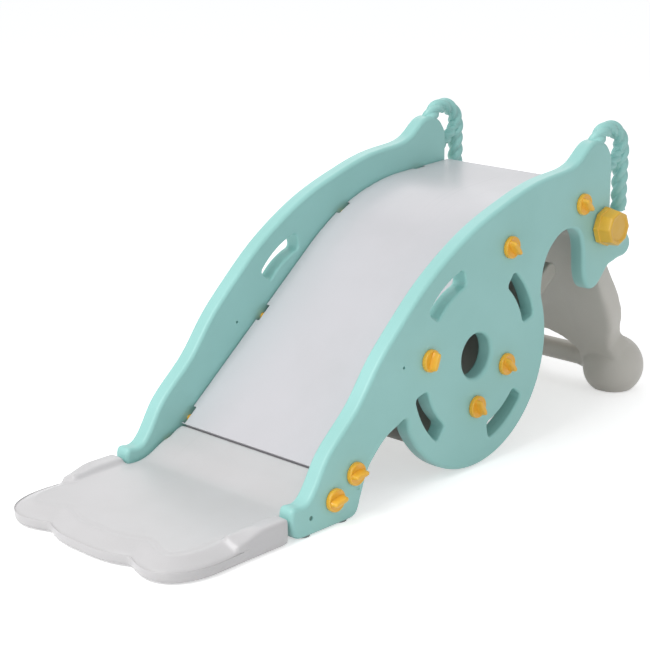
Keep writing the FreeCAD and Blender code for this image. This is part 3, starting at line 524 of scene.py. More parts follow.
def flat_loops(mesh: bpy.types.Mesh, axis: int, level: float) -> list[np.ndarray]:
    """Outlines of the faces of a CAD node that lie in a plane square to an axis.

    Args:
        mesh: the node's mesh.
        axis: 0, 1 or 2.
        level: of the plane.

    Returns:
        Closed loops of points in the other two axes.
    """
    keys: dict[tuple, int] = {}
    points: list[tuple[float, float]] = []
    others = [i for i in range(3) if i != axis]
    rims: dict[tuple[int, int], int] = {}
    for face in mesh.polygons:
        corners = [mesh.vertices[i].co for i in face.vertices]
        if any(abs(c[axis] - level) > 2e-5 for c in corners):
            continue
        ids = []
        for corner in corners:
            key = tuple(round(corner[i], 6) for i in others)
            if key not in keys:
                keys[key] = len(points)
                points.append((corner[others[0]], corner[others[1]]))
            ids.append(keys[key])
        for a, b in zip(ids, ids[1:] + ids[:1]):
            rims[(a, b)] = rims.get((a, b), 0) + 1
    follow = {a: b for a, b in rims if (b, a) not in rims}
    loops = []
    while follow:
        start, at = follow.popitem()
        loop = [start]
        while at != start:
            loop.append(at)
            at = follow.pop(at)
        loops.append(np.array([points[i] for i in loop]))
    return loops


def area(loop: np.ndarray) -> float:
    """Signed area of a loop, over 0 when it runs anticlockwise."""
    ahead = np.roll(loop, -1, 0)
    return float(np.sum(loop[:, 0] * ahead[:, 1] - ahead[:, 0] * loop[:, 1]) / 2)


def evenly(loop: np.ndarray, step: float) -> np.ndarray:
    """A closed loop with points about one step apart."""
    closed = np.vstack((loop, loop[:1]))
    lengths = np.linalg.norm(np.diff(closed, axis=0), axis=1)
    keep = np.concatenate(([True], lengths > 1e-9))
    closed, lengths = closed[keep], lengths[lengths > 1e-9]
    run = np.concatenate(([0.0], np.cumsum(lengths)))
    places = np.linspace(0, run[-1], max(8, round(run[-1] / step)), endpoint=False)
    return np.stack([np.interp(places, run, closed[:, i]) for i in range(2)], 1)


def calmed(loop: np.ndarray, passes: int) -> np.ndarray:
    """A loop with its corners rounded by averaging neighbours."""
    for _ in range(passes):
        loop = (np.roll(loop, 1, 0) + 2 * loop + np.roll(loop, -1, 0)) / 4
    return loop


def ring_of(radius: float, centre: Sequence[float], count: int) -> np.ndarray:
    """A round loop of points."""
    turns = np.linspace(0, 2 * math.pi, count, endpoint=False)
    return np.stack((centre[0] + radius * np.cos(turns), centre[1] + radius * np.sin(turns)), 1)


# ---------------------------------------------------------------- side panels
@dataclass
class Contour:
    """One edge of a plate: its outline, a hole right through, or a pit in the outer face."""

    points: np.ndarray
    round: float
    depth: Optional[float] = None

    def left(self) -> np.ndarray:
        """Unit normals that point to the left of the way round, into the material."""
        ahead = np.roll(self.points, -1, 0) - self.points
        normals = np.stack((-ahead[:, 1], ahead[:, 0]), 1)
        normals /= np.linalg.norm(normals, axis=1)[:, None]
        both = normals + np.roll(normals, 1, 0)
        return both / np.maximum(np.linalg.norm(both, axis=1)[:, None], 1e-6)


@dataclass
class Plate:
    """A flat moulding with rounded rims, a parting line round its edge, holes and pits."""

    thickness: float
    flash: float = 0.00035
    flash_width: float = 0.0009
    steps: int = 5

    def rungs(self, contour: Contour) -> list[tuple[float, float, float, float]]:
        """The rings of one contour as inset, height, and the two shares of the normal.

        Args:
            contour: the contour.

        Returns:
            The rings, from the outer face on.
        """
        half = self.thickness / 2
        bend = []
        for step in range(self.steps + 1):
            turn = math.pi / 2 * step / self.steps
            cos, sin = math.cos(turn), math.sin(turn)
            bend.append((contour.round * (1 - cos), half - contour.round * (1 - sin), cos, sin))
        if contour.depth is not None:
            return bend[::-1] + [(0.0, half - contour.depth, 0.6, 0.8)]
        line = [(0.0, self.flash_width, 1.0, 0.0), (-self.flash, 0.0, 1.0, 0.0), (0.0, -self.flash_width, 1.0, 0.0)]
        return bend[::-1] + line + [(inset, -height, cos, -sin) for inset, height, cos, sin in bend]

    def mesh(self, name: str, contours: Sequence[Contour], middle: float, side: Side) -> bpy.types.Mesh:
        """Builds the plate.

        Args:
            name: the mesh's name.
            contours: the outline first, then what is cut out of it.
            middle: distance of the plate's middle from the slide's.
            side: which side it stands on.

        Returns:
            The mesh.
        """
        points: list[np.ndarray] = []
        normals: list[np.ndarray] = []
        faces: list[tuple[int, ...]] = []
        outer: list[tuple[int, np.ndarray]] = []
        inner: list[tuple[int, np.ndarray]] = []
        total = 0
        for contour in contours:
            left = contour.left()
            count = len(contour.points)
            rungs = self.rungs(contour)
            for row, (inset, height, flat, up) in enumerate(rungs):
                ring = contour.points + left * inset
                points.append(np.column_stack((ring, np.full(count, height))))
                normals.append(np.column_stack((-left * flat, np.full(count, up))))
                start = total + row * count
                if row:
                    faces += [(start - count + i, start - count + (i + 1) % count, start + (i + 1) % count, start + i)
                              for i in range(count)]
            outer.append((total, points[-len(rungs)]))
            last = total + (len(rungs) - 1) * count
            if contour.depth is None:
                inner.append((last, points[-1]))
            else:
                faces += self.cap([(last, points[-1])], False)
            total += len(rungs) * count
        faces = [face[::-1] for face in faces] + self.cap(outer, True) + self.cap(inner, False)
        local, lean = np.vstack(points), np.vstack(normals)
        place = np.stack((local[:, 0], side.value * (middle + local[:, 2]), local[:, 1]), 1)
        lean = np.stack((lean[:, 0], side.value * lean[:, 2], lean[:, 1]), 1)
        if side is Side.RIGHT:
            faces = [face[::-1] for face in faces]
        mesh = bpy.data.meshes.new(name)
        mesh.from_pydata(place.tolist(), [], faces)
        mesh.shade_smooth()
        mesh.normals_split_custom_set_from_vertices((lean / np.linalg.norm(lean, axis=1)[:, None]).tolist())
        return mesh

    @staticmethod
    def cap(rings: Sequence[tuple[int, np.ndarray]], up: bool) -> list[tuple[int, ...]]:
        """Triangles between an outline and its holes.

        Args:
            rings: first vertex and points of each.
            up: the way the faces look.

        Returns:
            The triangles.
        """
        lookup = [start + i for start, ring in rings for i in range(len(ring))]
        flat = np.vstack([ring for _, ring in rings])
        lines = [[Vector((x, z, 0.0)) for x, z, _ in ring] for _, ring in rings]
        made = []
        for a, b, c in tessellate_polygon(lines):
            turn = np.cross(flat[b][:2] - flat[a][:2], flat[c][:2] - flat[a][:2])
            if abs(turn) > 1e-14:
                corner = (a, b, c) if (turn > 0) == up else (a, c, b)
                made.append(tuple(lookup[i] for i in corner))
        return made


@dataclass
class SidePanel:
    """A blow-moulded side panel: wheel, arc slots, hub, front foot, arch and rear tab."""

    side: Side
    middle: float = 0.220
    thickness: float = 0.036
    rim_round: float = 0.0085
    slot_round: float = 0.005
    hub_round: float = 0.008
    hub_radius: float = 0.044
    corner_passes: int = 5
    dimple: tuple[float, float] = (-0.339, 0.057)

    def contours(self, wheel_x: float) -> list[Contour]:
        """Reads the panel's edges from the CAD node.

        Args:
            wheel_x: place of the wheel centre.

        Returns:
            The outline, then the holes and pits.
        """
        mesh = frame["nodes"][f"side_panel_{self.side.word}"].data
        loops = flat_loops(mesh, 1, self.side.value * (self.middle + self.thickness / 2))
        loops.sort(key=lambda loop: -abs(area(loop)))
        edge = evenly(loops[0], 0.004)
        edge = calmed(edge if area(edge) > 0 else edge[::-1], self.corner_passes)
        found = [Contour(edge, self.rim_round)]
        for loop in loops[1:]:
            size = abs(area(loop)) * 1e6
            if size > 5000:
                found.append(self.hole(ring_of(self.hub_radius, loop.mean(0), 96), self.hub_round))
            elif size > 2000:
                found.append(self.hole(evenly(loop, 0.0025), self.slot_round))
            elif 20 < size < 40:
                found.append(self.hole(ring_of(0.003, loop.mean(0), 24), 0.0008))
            elif 55 < size < 80:
                found.append(self.hole(ring_of(0.0046, loop.mean(0), 28), 0.0007, 0.0026))
        spot = (wheel_x + self.dimple[0], self.dimple[1])
        found.append(self.hole(ring_of(0.004, spot, 24), 0.001, 0.0014))
        return found

    @staticmethod
    def hole(loop: np.ndarray, radius: float, depth: Optional[float] = None) -> Contour:
        """A contour that runs clockwise, as a hole does."""
        return Contour(loop if area(loop) < 0 else loop[::-1], radius, depth)

    def build(self, wheel_x: float) -> bpy.types.Object:
        """Makes the panel in place of its CAD node."""
        name = f"panel_{self.side.word}"
        mesh = Plate(self.thickness).mesh(name, self.contours(wheel_x), self.middle, self.side)
        piece = link(name, mesh, Finish.PANEL)
        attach(piece, Rides.FRAME.value)
        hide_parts(f"side_panel_{self.side.word}")
        return piece


# ---------------------------------------------------------------- node trees
class Tree:
    """A Geometry Nodes tree under construction."""

    def __init__(self, name: str, sizes: dict[str, float]) -> None:
        """Makes the tree with a geometry in and out and one named number input for each size."""
        self.group = bpy.data.node_groups.new(name, "GeometryNodeTree")
        face = self.group.interface
        face.new_socket("Geometry", in_out="INPUT", socket_type="NodeSocketGeometry")
        face.new_socket("Geometry", in_out="OUTPUT", socket_type="NodeSocketGeometry")
        self.sizes = sizes
        for size in sizes:
            face.new_socket(size, in_out="INPUT", socket_type="NodeSocketFloat")
        self.start = self.group.nodes.new("NodeGroupInput")

    def node(self, kind: str, settings: Optional[dict] = None, values: Optional[dict] = None,
             output: Union[int, str] = 0) -> bpy.types.NodeSocket:
        """Adds a node.

        Args:
            kind: the node's type.
            settings: its properties.
            values: its sockets by name or number, each a value or an output to link.
            output: the output wanted.

        Returns:
            That output.
        """
        made = self.group.nodes.new(kind)
        for name, value in (settings or {}).items():
            setattr(made, name, value)
        for name, value in (values or {}).items():
            if isinstance(value, bpy.types.NodeSocket):
                self.group.links.new(value, made.inputs[name])
            else:
                made.inputs[name].default_value = value
        return made.outputs[output]

    def maths(self, kind: str, *terms: Union[bpy.types.NodeSocket, float]) -> bpy.types.NodeSocket:
        """A Math node on sockets and numbers."""
        return self.node("ShaderNodeMath", {"operation": kind}, dict(enumerate(terms)))

    def size(self, name: str) -> bpy.types.NodeSocket:
        """A named input of the tree."""
        return self.start.outputs[name]

    def end(self, geometry: bpy.types.NodeSocket, finish: Finish) -> None:
        """Realizes the instances, sets the finish and closes the tree."""
        whole = self.node("GeometryNodeRealizeInstances", values={0: geometry})
        dressed = self.node("GeometryNodeSetMaterial", values={0: whole, "Material": finish.material})
        output = self.group.nodes.new("NodeGroupOutput")
        self.group.links.new(dressed, output.inputs[0])

    def run(self, piece: bpy.types.Object) -> bpy.types.Object:
        """Runs the tree on a piece and leaves it a plain mesh.

        Args:
            piece: the object that carries the points or the path.

        Returns:
            A mesh object of that name.
        """
        modifier = piece.modifiers.new("nodes", "NODES")
        modifier.node_group = self.group
        for item in self.group.interface.items_tree:
            if item.in_out == "INPUT" and item.name in self.sizes:
                modifier[item.identifier] = float(self.sizes[item.name])
        bpy.context.view_layer.update()
        result = piece.evaluated_get(bpy.context.evaluated_depsgraph_get())
        mesh = bpy.data.meshes.new_from_object(result)
        name = piece.name
        bpy.data.objects.remove(piece)
        mesh.name = name
        made = bpy.data.objects.new(name, mesh)
        bpy.context.scene.collection.objects.link(made)
        return made


def path_object(name: str, points: Sequence[Sequence[float]]) -> bpy.types.Object:
    """A smooth open path through points."""
    curve = bpy.data.curves.new(name, "CURVE")
    curve.dimensions = "3D"
    curve.resolution_u = 24
    spline = curve.splines.new("BEZIER")
    spline.bezier_points.add(len(points) - 1)
    for knot, point in zip(spline.bezier_points, points):
        knot.co = point
        knot.handle_left_type = knot.handle_right_type = "AUTO"
    made = bpy.data.objects.new(name, curve)
    bpy.context.scene.collection.objects.link(made)
    return made


def points_object(name: str, places: Sequence[Sequence[float]], turns: Sequence[float]) -> bpy.types.Object:
    """Loose points, each with a turn about its own axis.

    Args:
        name: the object's name.
        places: where the points are.
        turns: in radians.

    Returns:
        The object.
    """
    mesh = bpy.data.meshes.new(name)
    mesh.from_pydata([tuple(place) for place in places], [], [])
    mesh.attributes.new("turn", "FLOAT", "POINT").data.foreach_set("value", list(turns))
    made = bpy.data.objects.new(name, mesh)
    bpy.context.scene.collection.objects.link(made)
    return made


@dataclass
class RopeHandle:
    """The rope-look handle of a panel: a twisted loop over the top and a crossing strand."""

    side: Side
    pivot: Vector
    radius: float = 0.0152
    strand_radius: float = 0.0118
    lobe: float = 0.34
    lay: float = 0.081
    bend: float = 0.051
    bend_centre: tuple[float, float] = (0.028, 0.1449)
    foot: tuple[float, float] = (0.079, 0.018)

    def main_path(self) -> list[tuple[float, float]]:
        """The rope's middle line in the side view, from the pivot."""
        x, z = self.bend_centre
        loop = [(x + self.bend * math.cos(math.radians(a)), z + self.bend * math.sin(math.radians(a)))
                for a in range(170, -1, -17)]
        drop = [(self.foot[0] - 0.0005 * (i % 2), z - (z - self.foot[1]) * i / 5) for i in range(1, 6)]
        return [(x - 0.049, z - 0.034), (x - 0.0505, z - 0.014), *loop, *drop]

    def strand_path(self) -> list[tuple[float, float]]:
        """The crossing strand's middle line in the side view, from the pivot."""
        x, z = self.bend_centre
        return [(x + 0.049, z + 0.008), (x + 0.030, z - 0.014), (x + 0.010, z - 0.028), (x - 0.012, z - 0.040)]

    def twisted(self, name: str, path: Sequence[tuple[float, float]], radius: float, lay: float) -> bpy.types.Object:
        """Sweeps a three-lobed section along a path while it turns.

        Args:
            name: the piece's name.
            path: in the side view, from the pivot.
            radius: of the rope.
            lay: length of one whole turn.

        Returns:
            The rope.
        """
        y = self.side.value * 0.220
        points = [(self.pivot.x + x, y, self.pivot.z + z) for x, z in path]
        tree = Tree(f"{name}_tree", {"Radius": radius, "Lobe": self.lobe, "Lay": lay})
        dense = tree.node("GeometryNodeResampleCurve", {"mode": "LENGTH"},
                          {"Curve": tree.start.outputs[0], "Length": 0.0022})
        along = tree.node("GeometryNodeSplineParameter", output="Length")
        turn = tree.maths("MULTIPLY", tree.maths("DIVIDE", along, tree.size("Lay")), 2 * math.pi)
        tilted = tree.node("GeometryNodeSetCurveTilt", values={0: dense, "Tilt": turn})
        ring = tree.node("GeometryNodeCurvePrimitiveCircle", {"mode": "RADIUS"}, {"Resolution": 42, "Radius": 1.0})
        index = tree.node("GeometryNodeInputIndex")
        wave = tree.maths("COSINE", tree.maths("MULTIPLY", index, 3 * 2 * math.pi / 42))
        dent = tree.maths("POWER", tree.maths("MULTIPLY_ADD", wave, 0.5, 0.5), 0.6)
        reach = tree.maths("MULTIPLY_ADD", tree.maths("SUBTRACT", dent, 0.62), tree.size("Lobe"), 1.0)
        reach = tree.maths("MULTIPLY", reach, tree.size("Radius"))
        here = tree.node("GeometryNodeInputPosition")
        scaled = tree.node("ShaderNodeVectorMath", {"operation": "SCALE"}, {0: here, "Scale": reach})
        section = tree.node("GeometryNodeSetPosition", values={0: ring, "Position": scaled})
        swept = tree.node("GeometryNodeCurveToMesh", values={"Curve": tilted, "Profile Curve": section,
                                                             "Fill Caps": True})
        tree.end(swept, Finish.PANEL)
        rope = tree.run(path_object(name, points))
        self.swell(rope.data)
        rope.data.shade_smooth()
        return rope

    def swell(self, mesh: bpy.types.Mesh) -> None:
        """Closes the caps' corners and turns the faces outwards."""
        work = bmesh.new()
        work.from_mesh(mesh)
        bmesh.ops.remove_doubles(work, verts=work.verts, dist=1e-6)
        bmesh.ops.recalc_face_normals(work, faces=work.faces)
        work.to_mesh(mesh)
        work.free()

    def build(self) -> list[bpy.types.Object]:
        """Makes the loop and the strand in place of their CAD node."""
        word = self.side.word
        rope = self.twisted(f"rope_{word}", self.main_path(), self.radius, self.lay)
        strand = self.twisted(f"rope_strand_{word}", self.strand_path(), self.strand_radius, self.lay * 0.8)
        for piece in (rope, strand):
            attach(piece, Rides.FRAME.value)
        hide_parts(f"rope_handle_{word}")
        return [rope, strand]


# ---------------------------------------------------------------- chute and boards
@dataclass
class RunOut:
    """The lobed run-out: soft lobes, raised side rims and a shallow fall towards its edge."""

    voxel: float = 0.0034
    passes: int = 40
    fall: float = 0.013
    fall_width: float = 0.048
    crease: float = 0.0016
    crease_at: float = 0.044
    crease_width: float = 0.004
    fall_start: float = 0.215
    fall_full: float = 0.150
    top_start: float = 0.024
    top_full: float = 0.036

    def build(self) -> bpy.types.Object:
        """Makes the run-out in place of its CAD node."""
        low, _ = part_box("run_out")
        outline = max(flat_loops(frame["nodes"]["run_out"].data, 2, low.z), key=lambda loop: abs(area(loop)))
        piece = softened(welded("run_out_bed", ["run_out"], Finish.RUN_OUT, 0.0), self.voxel, self.passes)
        points = vertices(piece.data)
        near = self.from_edge(points[:, :2], evenly(outline, 0.004))
        front = self.step(points[:, 0], low.x + self.fall_start, low.x + self.fall_full)
        top = self.step(points[:, 2], self.top_start, self.top_full)
        share = 1 - self.step(near, 0.0, self.fall_width)
        groove = np.exp(-((near - self.crease_at) / self.crease_width) ** 2)
        points[:, 2] -= front * top * (self.fall * share + self.crease * groove)
        piece.data.vertices.foreach_set("co", points.astype(np.float32).ravel())
        piece.data.update()
        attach(piece, Rides.FRAME.value)
        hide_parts("run_out")
        return piece

    @staticmethod
    def step(value: np.ndarray, start: float, end: float) -> np.ndarray:
        """A smooth step from 0 at start to 1 at end."""
        share = np.clip((value - start) / (end - start), 0, 1)
        return share * share * (3 - 2 * share)

    @staticmethod
    def from_edge(points: np.ndarray, outline: np.ndarray) -> np.ndarray:
        """Distance of each point from an outline."""
        best = np.full(len(points), 1e9)
        for spot in outline:
            best = np.minimum(best, np.hypot(points[:, 0] - spot[0], points[:, 1] - spot[1]))
        return best


@dataclass
class Boards:
    """The upper chute, the brace board and the rear beam, from their CAD shapes."""

    scoop_radius: float = 0.0245
    scoop_depth: float = 0.011
    half: float = 0.200

    def scoops(self, piece: bpy.types.Object) -> bpy.types.Object:
        """Cuts the round scoops that show at the chute's edges over its bolts."""
        work = bmesh.new()
        for side in Side:
            for socket in islands(frame["nodes"][f"bolt_sockets_{side.word}"].data):
                middle = (socket.min(0) + socket.max(0)) / 2
                place = Matrix.Translation((middle[0], side.value * self.half, middle[2]))
                stand = Matrix.Rotation(math.pi / 2, 4, "X")
                bmesh.ops.create_cone(work, cap_ends=True, segments=64, radius1=self.scoop_radius,
                                      radius2=self.scoop_radius, depth=2 * self.scoop_depth, matrix=place @ stand)
        mesh = bpy.data.meshes.new("scoop_cutter")
        work.to_mesh(mesh)
        work.free()
        cutter = link("scoop_cutter", mesh, Finish.CHUTE)
        taken = piece.modifiers.new("scoops", "BOOLEAN")
        taken.object = cutter
        taken.solver = "EXACT"
        finished(piece)
        bpy.data.objects.remove(cutter)
        return piece

    def build(self) -> list[bpy.types.Object]:
        """Makes the three pieces in place of their CAD nodes."""
        made = []
        # The brace board and the rear beam wear the board finish, whose darker grey is painted shade.
        for name, node, finish, slot in (("chute_slab", "chute_upper", Finish.CHUTE, "chute"),
                                         ("brace", "brace_board", Finish.BOARD, "board")):
            piece = welded(name, [node], finish)
            piece = smooth(self.scoops(piece) if node == "chute_upper" else piece, 30.0)
            made.append(self.settle(piece, node, slot))
        beam = eased(welded("beam", ["rear_beam"], Finish.BOARD), 0.003)
        made.append(self.settle(beam, "rear_beam", "board"))
        return made

    @staticmethod
    def settle(piece: bpy.types.Object, node: str, slot: str) -> bpy.types.Object:
        """Rides a piece on the frame in place of a CAD node."""
        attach(piece, Rides.FRAME.value)
        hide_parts(node)
        return piece


# ---------------------------------------------------------------- ladder
@dataclass
class Ladder:
    """The folding ladder: one soft moulding with its steps, and ribs on the treads."""

    voxel: float = 0.0034
    passes: int = 12
    swell: float = 0.0060
    foot_swell: float = 1.20
    swell_heights: tuple[float, float] = (0.33, 0.22)
    swell_sides: tuple[float, float] = (0.085, 0.12)
    foot_radius: float = 0.052
    foot_side: float = 0.198
    foot_fade: tuple[float, float] = (0.95, 1.8)
    pad_proud: float = 0.0015
    rib_count: int = 7
    rib_from_edge: float = 0.016
    rib_pitch: float = 0.0068
    rib_sunk: float = 0.0003
    rib_radius: float = 0.0016
    rib_width: float = 0.19

    def build(self) -> list[bpy.types.Object]:
        """Makes the ladder and its tread ribs in place of their CAD nodes."""
        nodes = ["ladder", "ladder_step_upper", "ladder_step_lower"]
        board = softened(welded("ladder_moulding", nodes, Finish.LADDER, 0.0), self.voxel, self.passes)
        self.fill_out(board)
        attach(board, Rides.LADDER.value)
        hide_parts(*nodes)
        return [board, self.ribs(nodes[1:])]

    def fill_out(self, board: bpy.types.Object) -> None:
        """Swells the open part of the board and its feet, as air pressure does in the mould."""
        mesh = board.data
        points = vertices(mesh)
        lean = np.zeros(len(mesh.vertices) * 3, np.float32)
        mesh.vertices.foreach_get("normal", lean)
        share = (RunOut.step(points[:, 2], *self.swell_heights)
                 * RunOut.step(np.abs(points[:, 1]), *self.swell_sides))
        points += lean.reshape(-1, 3) * (self.swell * share)[:, None]
        low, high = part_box("ladder_foot_pads")
        for side in Side:
            centre = np.array(((low.x + high.x) / 2, side.value * (self.foot_side - self.foot_radius),
                               self.foot_radius + self.pad_proud))
            away = points - centre
            near = 1 - RunOut.step(np.linalg.norm(away, axis=1),
                                   *(self.foot_radius * part for part in self.foot_fade))
            points += away * (near * (self.foot_swell - 1))[:, None]
        points[:, 2] = np.maximum(points[:, 2], self.pad_proud)
        mesh.vertices.foreach_set("co", points.astype(np.float32).ravel())
        mesh.update()

    def ribs(self, steps: Sequence[str]) -> bpy.types.Object:
        """Rounded ribs across the treads.

        Args:
            steps: the CAD nodes of the treads.

        Returns:
            All ribs as one piece.
        """
        places = []
        for step in steps:
            _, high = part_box(step)
            places += [(high.x - self.rib_from_edge - self.rib_pitch * i, 0.0, high.z - self.rib_sunk)
                       for i in range(self.rib_count)]
        tree = Tree("rib_tree", {"Radius": self.rib_radius, "Width": self.rib_width})
        line = tree.node("GeometryNodeMeshCylinder", {"fill_type": "TRIANGLE_FAN"},
                         {"Vertices": 12, "Radius": tree.size("Radius"), "Depth": tree.size("Width")}, "Mesh")
        laid = tree.node("GeometryNodeTransform", values={0: line, "Rotation": (math.pi / 2, 0.0, 0.0)})
        many = tree.node("GeometryNodeInstanceOnPoints", values={"Points": tree.start.outputs[0], "Instance": laid})
        tree.end(many, Finish.LADDER)
        ribs = smooth(tree.run(points_object("tread_ribs", places, [0.0] * len(places))))
        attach(ribs, Rides.LADDER.value)
        return ribs


# ---------------------------------------------------------------- fasteners
@dataclass
class WingBolts:
    """The finger-grip bolts of one side: a rounded disc, a fin to turn it by and a coarse thread."""

    side: Side
    head: float = 0.022
    height: float = 0.009
    grip: float = 0.013
    shank: float = 0.007
    reach: float = 0.067
    seat: float = 0.2382

    def disc(self) -> bpy.types.Object:
        """The head and its threaded shank, along +Z."""
        head, height = self.head, self.height
        crown = [(0.0005, height - 0.0012), (head * 0.55, height - 0.0012), (head * 0.78, height - 0.0010),
                 (head * 0.84, height - 0.0002), (head * 0.90, height), (head * 0.95, height - 0.0007),
                 (head * 0.985, height - 0.0022), (head, height - 0.0045), (head, 0.0008), (head - 0.0008, 0.0),
                 (self.shank + 0.001, 0.0), (self.shank, -0.001), (self.shank, -self.reach + 0.0235)]
        thread = []
        for turn in range(4):
            base = -self.reach + 0.0235 - 0.006 * turn
            thread += [(self.shank - 0.0012, base - 0.0012), (self.shank - 0.0012, base - 0.003),
                       (self.shank, base - 0.0042), (self.shank, base - 0.0056)]
        tip = [(self.shank - 0.0014, -self.reach + 0.0002), (0.0005, -self.reach)]
        rings = turned(crown + thread[:-1] + tip, 56)
        return smooth(loft("bolt_disc", rings, Finish.WING_BOLT), 50.0)

    def fin(self) -> bpy.types.Object:
        """The grip: a bar that narrows upwards, with a rounded top."""
        turns = np.linspace(0, 2 * math.pi, 56, endpoint=False)
        rings = []
        top = self.height + self.grip
        for length, width, z in ((0.0190, 0.0074, self.height - 0.002), (0.0188, 0.0070, self.height),
                                 (0.0182, 0.0060, self.height + 0.0015), (0.0178, 0.0055, self.height + 0.005),
                                 (0.0172, 0.0050, top - 0.0040), (0.0166, 0.0046, top - 0.0022),
                                 (0.0155, 0.0037, top - 0.0008), (0.0138, 0.0022, top - 0.0001),
                                 (0.0110, 0.0008, top)):
            cos, sin = np.cos(turns), np.sin(turns)
            x = length * np.sign(cos) * np.abs(cos) ** 0.55
            y = width * np.sign(sin) * np.abs(sin) ** 0.75
            rings.append(np.stack((x, y, np.full(56, z)), 1))
        return smooth(loft("bolt_fin", rings, Finish.WING_BOLT), 60.0)

    def spots(self) -> tuple[list[Vector], list[float]]:
        """Places and turns of the bolts, read from the CAD node."""
        places, turns = [], []
        for solid in islands(frame["nodes"][f"wing_bolts_{self.side.word}"].data):
            out = solid[:, 1] * self.side.value
            wide = solid[out > self.seat - 0.0005]
            middle = (wide.min(0) + wide.max(0)) / 2
            tips = solid[out > out.max() - 0.0005][:, [0, 2]]
            tips = tips - tips.mean(0)
            longest = np.linalg.eigh(tips.T @ tips)[1][:, -1]
            places.append(Vector((middle[0], self.side.value * self.seat, middle[2])))
            turns.append(math.atan2(longest[1], longest[0]))
        return places, turns

    def build(self) -> bpy.types.Object:
        """Makes the bolts in place of their CAD node."""
        parts = [self.disc(), self.fin()]
        model = bpy.data.meshes.new("bolt_model")
        work = bmesh.new()
        for part in parts:
            work.from_mesh(part.data)
            bpy.data.objects.remove(part)
        stand = Matrix.Rotation(math.pi / 2, 3, "X")
        face = Matrix.Rotation(math.pi, 3, "Z") if self.side is Side.RIGHT else Matrix.Identity(3)
        bmesh.ops.transform(work, matrix=(face @ stand).to_4x4(), verts=work.verts)
        work.to_mesh(model)
        work.free()
        template = link("bolt_template", model, Finish.WING_BOLT)
        template.data.shade_smooth()
        template.data.set_sharp_from_angle(angle=math.radians(50))
        places, turns = self.spots()
        tree = Tree(f"bolt_tree_{self.side.word}", {"Scale": 1.0})
        one = tree.node("GeometryNodeObjectInfo", values={"Object": template}, output="Geometry")
        turn = tree.node("GeometryNodeInputNamedAttribute", {"data_type": "FLOAT"}, {"Name": "turn"})
        spin = tree.node("ShaderNodeCombineXYZ", values={"Y": tree.maths("MULTIPLY", turn, -1.0)})
        many = tree.node("GeometryNodeInstanceOnPoints",
                         values={"Points": tree.start.outputs[0], "Instance": one, "Rotation": spin,
                                 "Scale": tree.size("Scale")})
        tree.end(many, Finish.WING_BOLT)
        bolts = tree.run(points_object(f"bolts_{self.side.word}", places, turns))
        bpy.data.objects.remove(template)
        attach(bolts, Rides.FRAME.value)
        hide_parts(f"wing_bolts_{self.side.word}")
        return bolts


@dataclass
class ClampKnob:
    """The eight-sided hand knob at one end of the pivot, with a dished front."""

    side: Side
    pivot: Vector
    base: float = 0.041
    front: float = 0.0350
    height: float = 0.038
    seat: float = 0.2403
    bore: float = 0.01258

    def ring(self, radius: float, height: float, sharp: float) -> np.ndarray:
        """One eight-sided ring.

        Args:
            radius: over its corners.
            height: along the knob.
            sharp: 1 for eight flats, 0 for a circle.

        Returns:
            Its points.
        """
        turns = np.linspace(0, 2 * math.pi, 128, endpoint=False)
        off = (turns % (math.pi / 4)) - math.pi / 8
        flats = math.cos(math.pi / 8) / np.cos(off)
        reach = radius * (flats ** 0.92 * sharp + (1 - sharp))
        return np.stack((reach * np.cos(turns), reach * np.sin(turns), np.full(128, height)), 1)

    def build(self) -> bpy.types.Object:
        """Makes the knob in place of its CAD node."""
        tall, front = self.height, self.front
        rows = [(self.bore, tall - 0.018, 0), (self.bore, 0.0006, 0), (self.bore + 0.0008, 0.0, 0),
                (self.base - 0.0015, 0.0, 1), (self.base - 0.0004, 0.0006, 1), (self.base, 0.0018, 1),
                (self.base - 0.0004, 0.010, 1), (self.base - 0.0009, 0.0112, 1), (self.base - 0.0026, 0.0118, 1),
                (self.base - 0.0030, 0.0128, 1), (self.base - 0.0034, 0.0200, 1), (front + 0.0012, tall - 0.005, 1),
                (front + 0.0006, tall - 0.0024, 1), (front - 0.0006, tall - 0.0009, 0.95),
                (front - 0.0024, tall - 0.0001, 0.9), (front - 0.0045, tall, 0.85),
                (front - 0.0064, tall - 0.0002, 0.6), (front - 0.0076, tall - 0.0009, 0.5),
                (front - 0.0084, tall - 0.0022, 0.45), (front - 0.0096, tall - 0.0030, 0.4),
                (front - 0.014, tall - 0.0031, 0.2), (0.004, tall - 0.0022, 0)]
        rings = [self.ring(r, z, s) for r, z, s in rows]
        knob = smooth(loft(f"knob_{self.side.word}", rings, Finish.CLAMP_KNOB), 42.0)
        stand = Matrix.Rotation(-math.pi / 2 * self.side.value, 4, "X")
        place = Matrix.Translation((self.pivot.x, self.side.value * self.seat, self.pivot.z))
        knob.data.transform(place @ stand)
        body = Rides.CLAMP_LEFT if self.side is Side.LEFT else Rides.CLAMP_RIGHT
        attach(knob, body.value)
        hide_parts(f"clamp_knob_{self.side.word}")
        return knob


